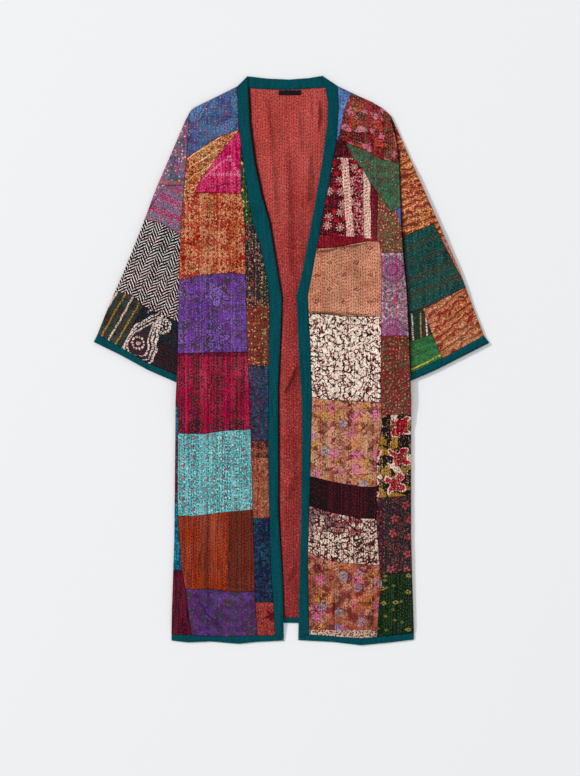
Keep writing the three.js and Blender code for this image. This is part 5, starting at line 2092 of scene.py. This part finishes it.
@dataclass
class Studio:
    """The pale floor, the soft light from the upper left and the camera straight above."""

    lens: float = 70.0
    sensor: float = 36.0
    photo_height: float = 1629.6
    centre: Point = (-3.15, -57.75)
    floor_half: float = 6.0
    floor_drop: float = 0.0006
    floor_colour: Colour = (240, 241, 243)
    floor_roughness: float = 0.95
    key_distance: float = 28.0
    key_size: float = 2.4
    key_power: float = 4800.0
    key_azimuth: float = 152.0
    key_elevation: float = 30.0
    sky: float = 0.68

    def build(self) -> None:
        """Set the floor, the lights and the camera."""
        self.floor()
        self.hang_light()
        self.set_camera()
        bpy.context.scene.view_settings.view_transform = "Standard"

    def floor(self) -> bpy.types.Object:
        """Make the pale surface that the coat lies on."""
        mesh = bpy.data.meshes.new("floor")
        corners = [(x * self.floor_half, y * self.floor_half, -self.floor_drop) for x, y in self.square()]
        mesh.from_pydata(corners, [], [(0, 1, 2, 3)])
        material = bpy.data.materials.new("pale_floor")
        material.use_nodes = True
        shader = material.node_tree.nodes["Principled BSDF"]
        shader.inputs["Base Color"].default_value = linear(self.floor_colour)
        shader.inputs["Roughness"].default_value = self.floor_roughness
        shader.inputs["Specular IOR Level"].default_value = 0.0
        mesh.materials.append(material)
        return self.added("floor", mesh)

    @staticmethod
    def square() -> tuple[Point, ...]:
        """Give the corners of a square round the middle, one way round."""
        return (-1, -1), (1, -1), (1, 1), (-1, 1)

    @staticmethod
    def added(name: str, data: bpy.types.ID) -> bpy.types.Object:
        """Add an object with its data to the scene."""
        made = bpy.data.objects.new(name, data)
        bpy.context.scene.collection.objects.link(made)
        return made

    def hang_light(self) -> None:
        """Hang one large light to the upper left and fill the room evenly."""
        lamp = bpy.data.lights.new("key", "AREA")
        lamp.shape = "DISK"
        lamp.size = self.key_size
        lamp.energy = self.key_power
        azimuth, elevation = math.radians(self.key_azimuth), math.radians(self.key_elevation)
        level = math.cos(elevation)
        way = Vector((math.cos(azimuth) * level, math.sin(azimuth) * level, math.sin(elevation)))
        key = self.added("key", lamp)
        key.location = way * self.key_distance
        key.rotation_euler = way.to_track_quat("Z", "Y").to_euler()
        world = bpy.data.worlds.new("soft_room")
        world.use_nodes = True
        background = world.node_tree.nodes["Background"]
        background.inputs["Color"].default_value = (1.0, 1.0, 1.0, 1.0)
        background.inputs["Strength"].default_value = self.sky
        bpy.context.scene.world = world

    def set_camera(self) -> None:
        """Look straight down, with the photo's frame."""
        data = bpy.data.cameras.new("camera")
        data.lens = self.lens
        data.sensor_width = self.sensor
        height = self.photo_height * self.lens / self.sensor
        camera = self.added("camera", data)
        camera.location = (self.centre[0] * MM, self.centre[1] * MM, height * MM)
        bpy.context.scene.camera = camera


@dataclass
class KimonoCoat:
    """The whole coat, built from the surface up."""

    shop: Workshop
    sleeve_grain: float = math.radians(67.5)
    cuff_step: float = 3.4
    front_step: float = 9.0
    front_right: tuple[str, ...] = (
        "blue_paisley", "apricot_floral", "magenta_dots", "gold_brocade", "purple", "wine_ikat", "aqua",
        "tangerine", "violet_low", "side_teal", "side_burgundy", "inner_green", "inner_navy", "inner_brown",
        "inner_violet", "inner_rust", "inner_blue", "inner_brick",
    )
    front_left: tuple[str, ...] = (
        "blue_neck", "crimson_floral", "green_gore", "striped_floral", "salmon", "cream_vine", "peach_print",
        "black_bar", "cream_vine_low", "peach_low", "outer_brown", "violet_rings", "outer_maroon", "rose",
        "navy_coral", "forest_dots",
    )
    sleeve_right: tuple[str, ...] = (
        "sleeve_paisley", "sleeve_stripe", "herringbone", "sleeve_green", "sleeve_black",
    )
    sleeve_left: tuple[str, ...] = (
        "sleeve_pink", "sleeve_orange", "sleeve_teal", "sleeve_bars", "sleeve_rust", "sleeve_leaf",
    )

    def build(self) -> None:
        """Build every layer."""
        for side, lines in SLEEVES.items():
            self.build_sleeve(side, lines)
        BackPanel().build(self.shop)
        for side in ("right", "left"):
            self.build_front(side)
        BindingMaker().build(self.shop)
        for group in self.patch_groups():
            group.build(self.shop)

    def build_sleeve(self, side: str, lines: SleeveLines) -> None:
        """Build a sleeve, laid flat and partly tucked under the body, and its cuff binding."""
        wardrobe = self.shop.wardrobe
        armhole, mouth, edge = lines.armhole, lines.mouth, lines.edge
        FlatTube(
            f"sleeve_{side}", "lining", armhole, mouth, (armhole[0], mouth[0]), lines.outer,
            Drape.sleeve_over, SLEEVE_WALL,
        ).build(self.shop, [wardrobe.outside, wardrobe.lining])
        FlatTube(
            f"cuff_{side}", "teal_binding", mouth, edge, (mouth[0], edge[0]), (mouth[-1], edge[-1]),
            Drape.cuff_over, CUFF_WALL, self.cuff_step,
        ).build(self.shop, [wardrobe.teal, wardrobe.teal])

    def build_front(self, side: str) -> None:
        """Build the plain base cloth of a front, under its patches."""
        outline = self.shop.outline(f"front_{side}")
        mesh = Shell(outline, Drape.front_under, Drape.front_over, step=self.front_step).mesh()
        lining = self.shop.wardrobe.lining
        flat, area = outline.spans(), outline.area()
        self.shop.cut(f"front_{side}", "lining", mesh, [lining, lining], flat, area, ["back_cloth"])

    def patch_groups(self) -> list[PatchGroup]:
        """List the patches of the four panels."""
        front, sleeve, grain = Drape.front_over, Drape.sleeve_over, self.sleeve_grain
        return [
            PatchGroup("front_right", self.front_right, front, FRONT_CREASES, 0.0, 1),
            PatchGroup("front_left", self.front_left, front, FRONT_CREASES, 0.0, 3),
            PatchGroup("sleeve_right", self.sleeve_right, sleeve, SLEEVE_CREASES, grain, 5),
            PatchGroup("sleeve_left", self.sleeve_left, sleeve, SLEEVE_CREASES, -grain, 7, "front_left"),
        ]


def main() -> None:
    """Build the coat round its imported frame, and the studio round the coat."""
    logging.basicConfig(level=logging.INFO, format="%(message)s")
    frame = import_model()
    Studio().build()
    KimonoCoat(Workshop(frame["nodes"], Wardrobe())).build()


if __name__ == "__main__":
    main()
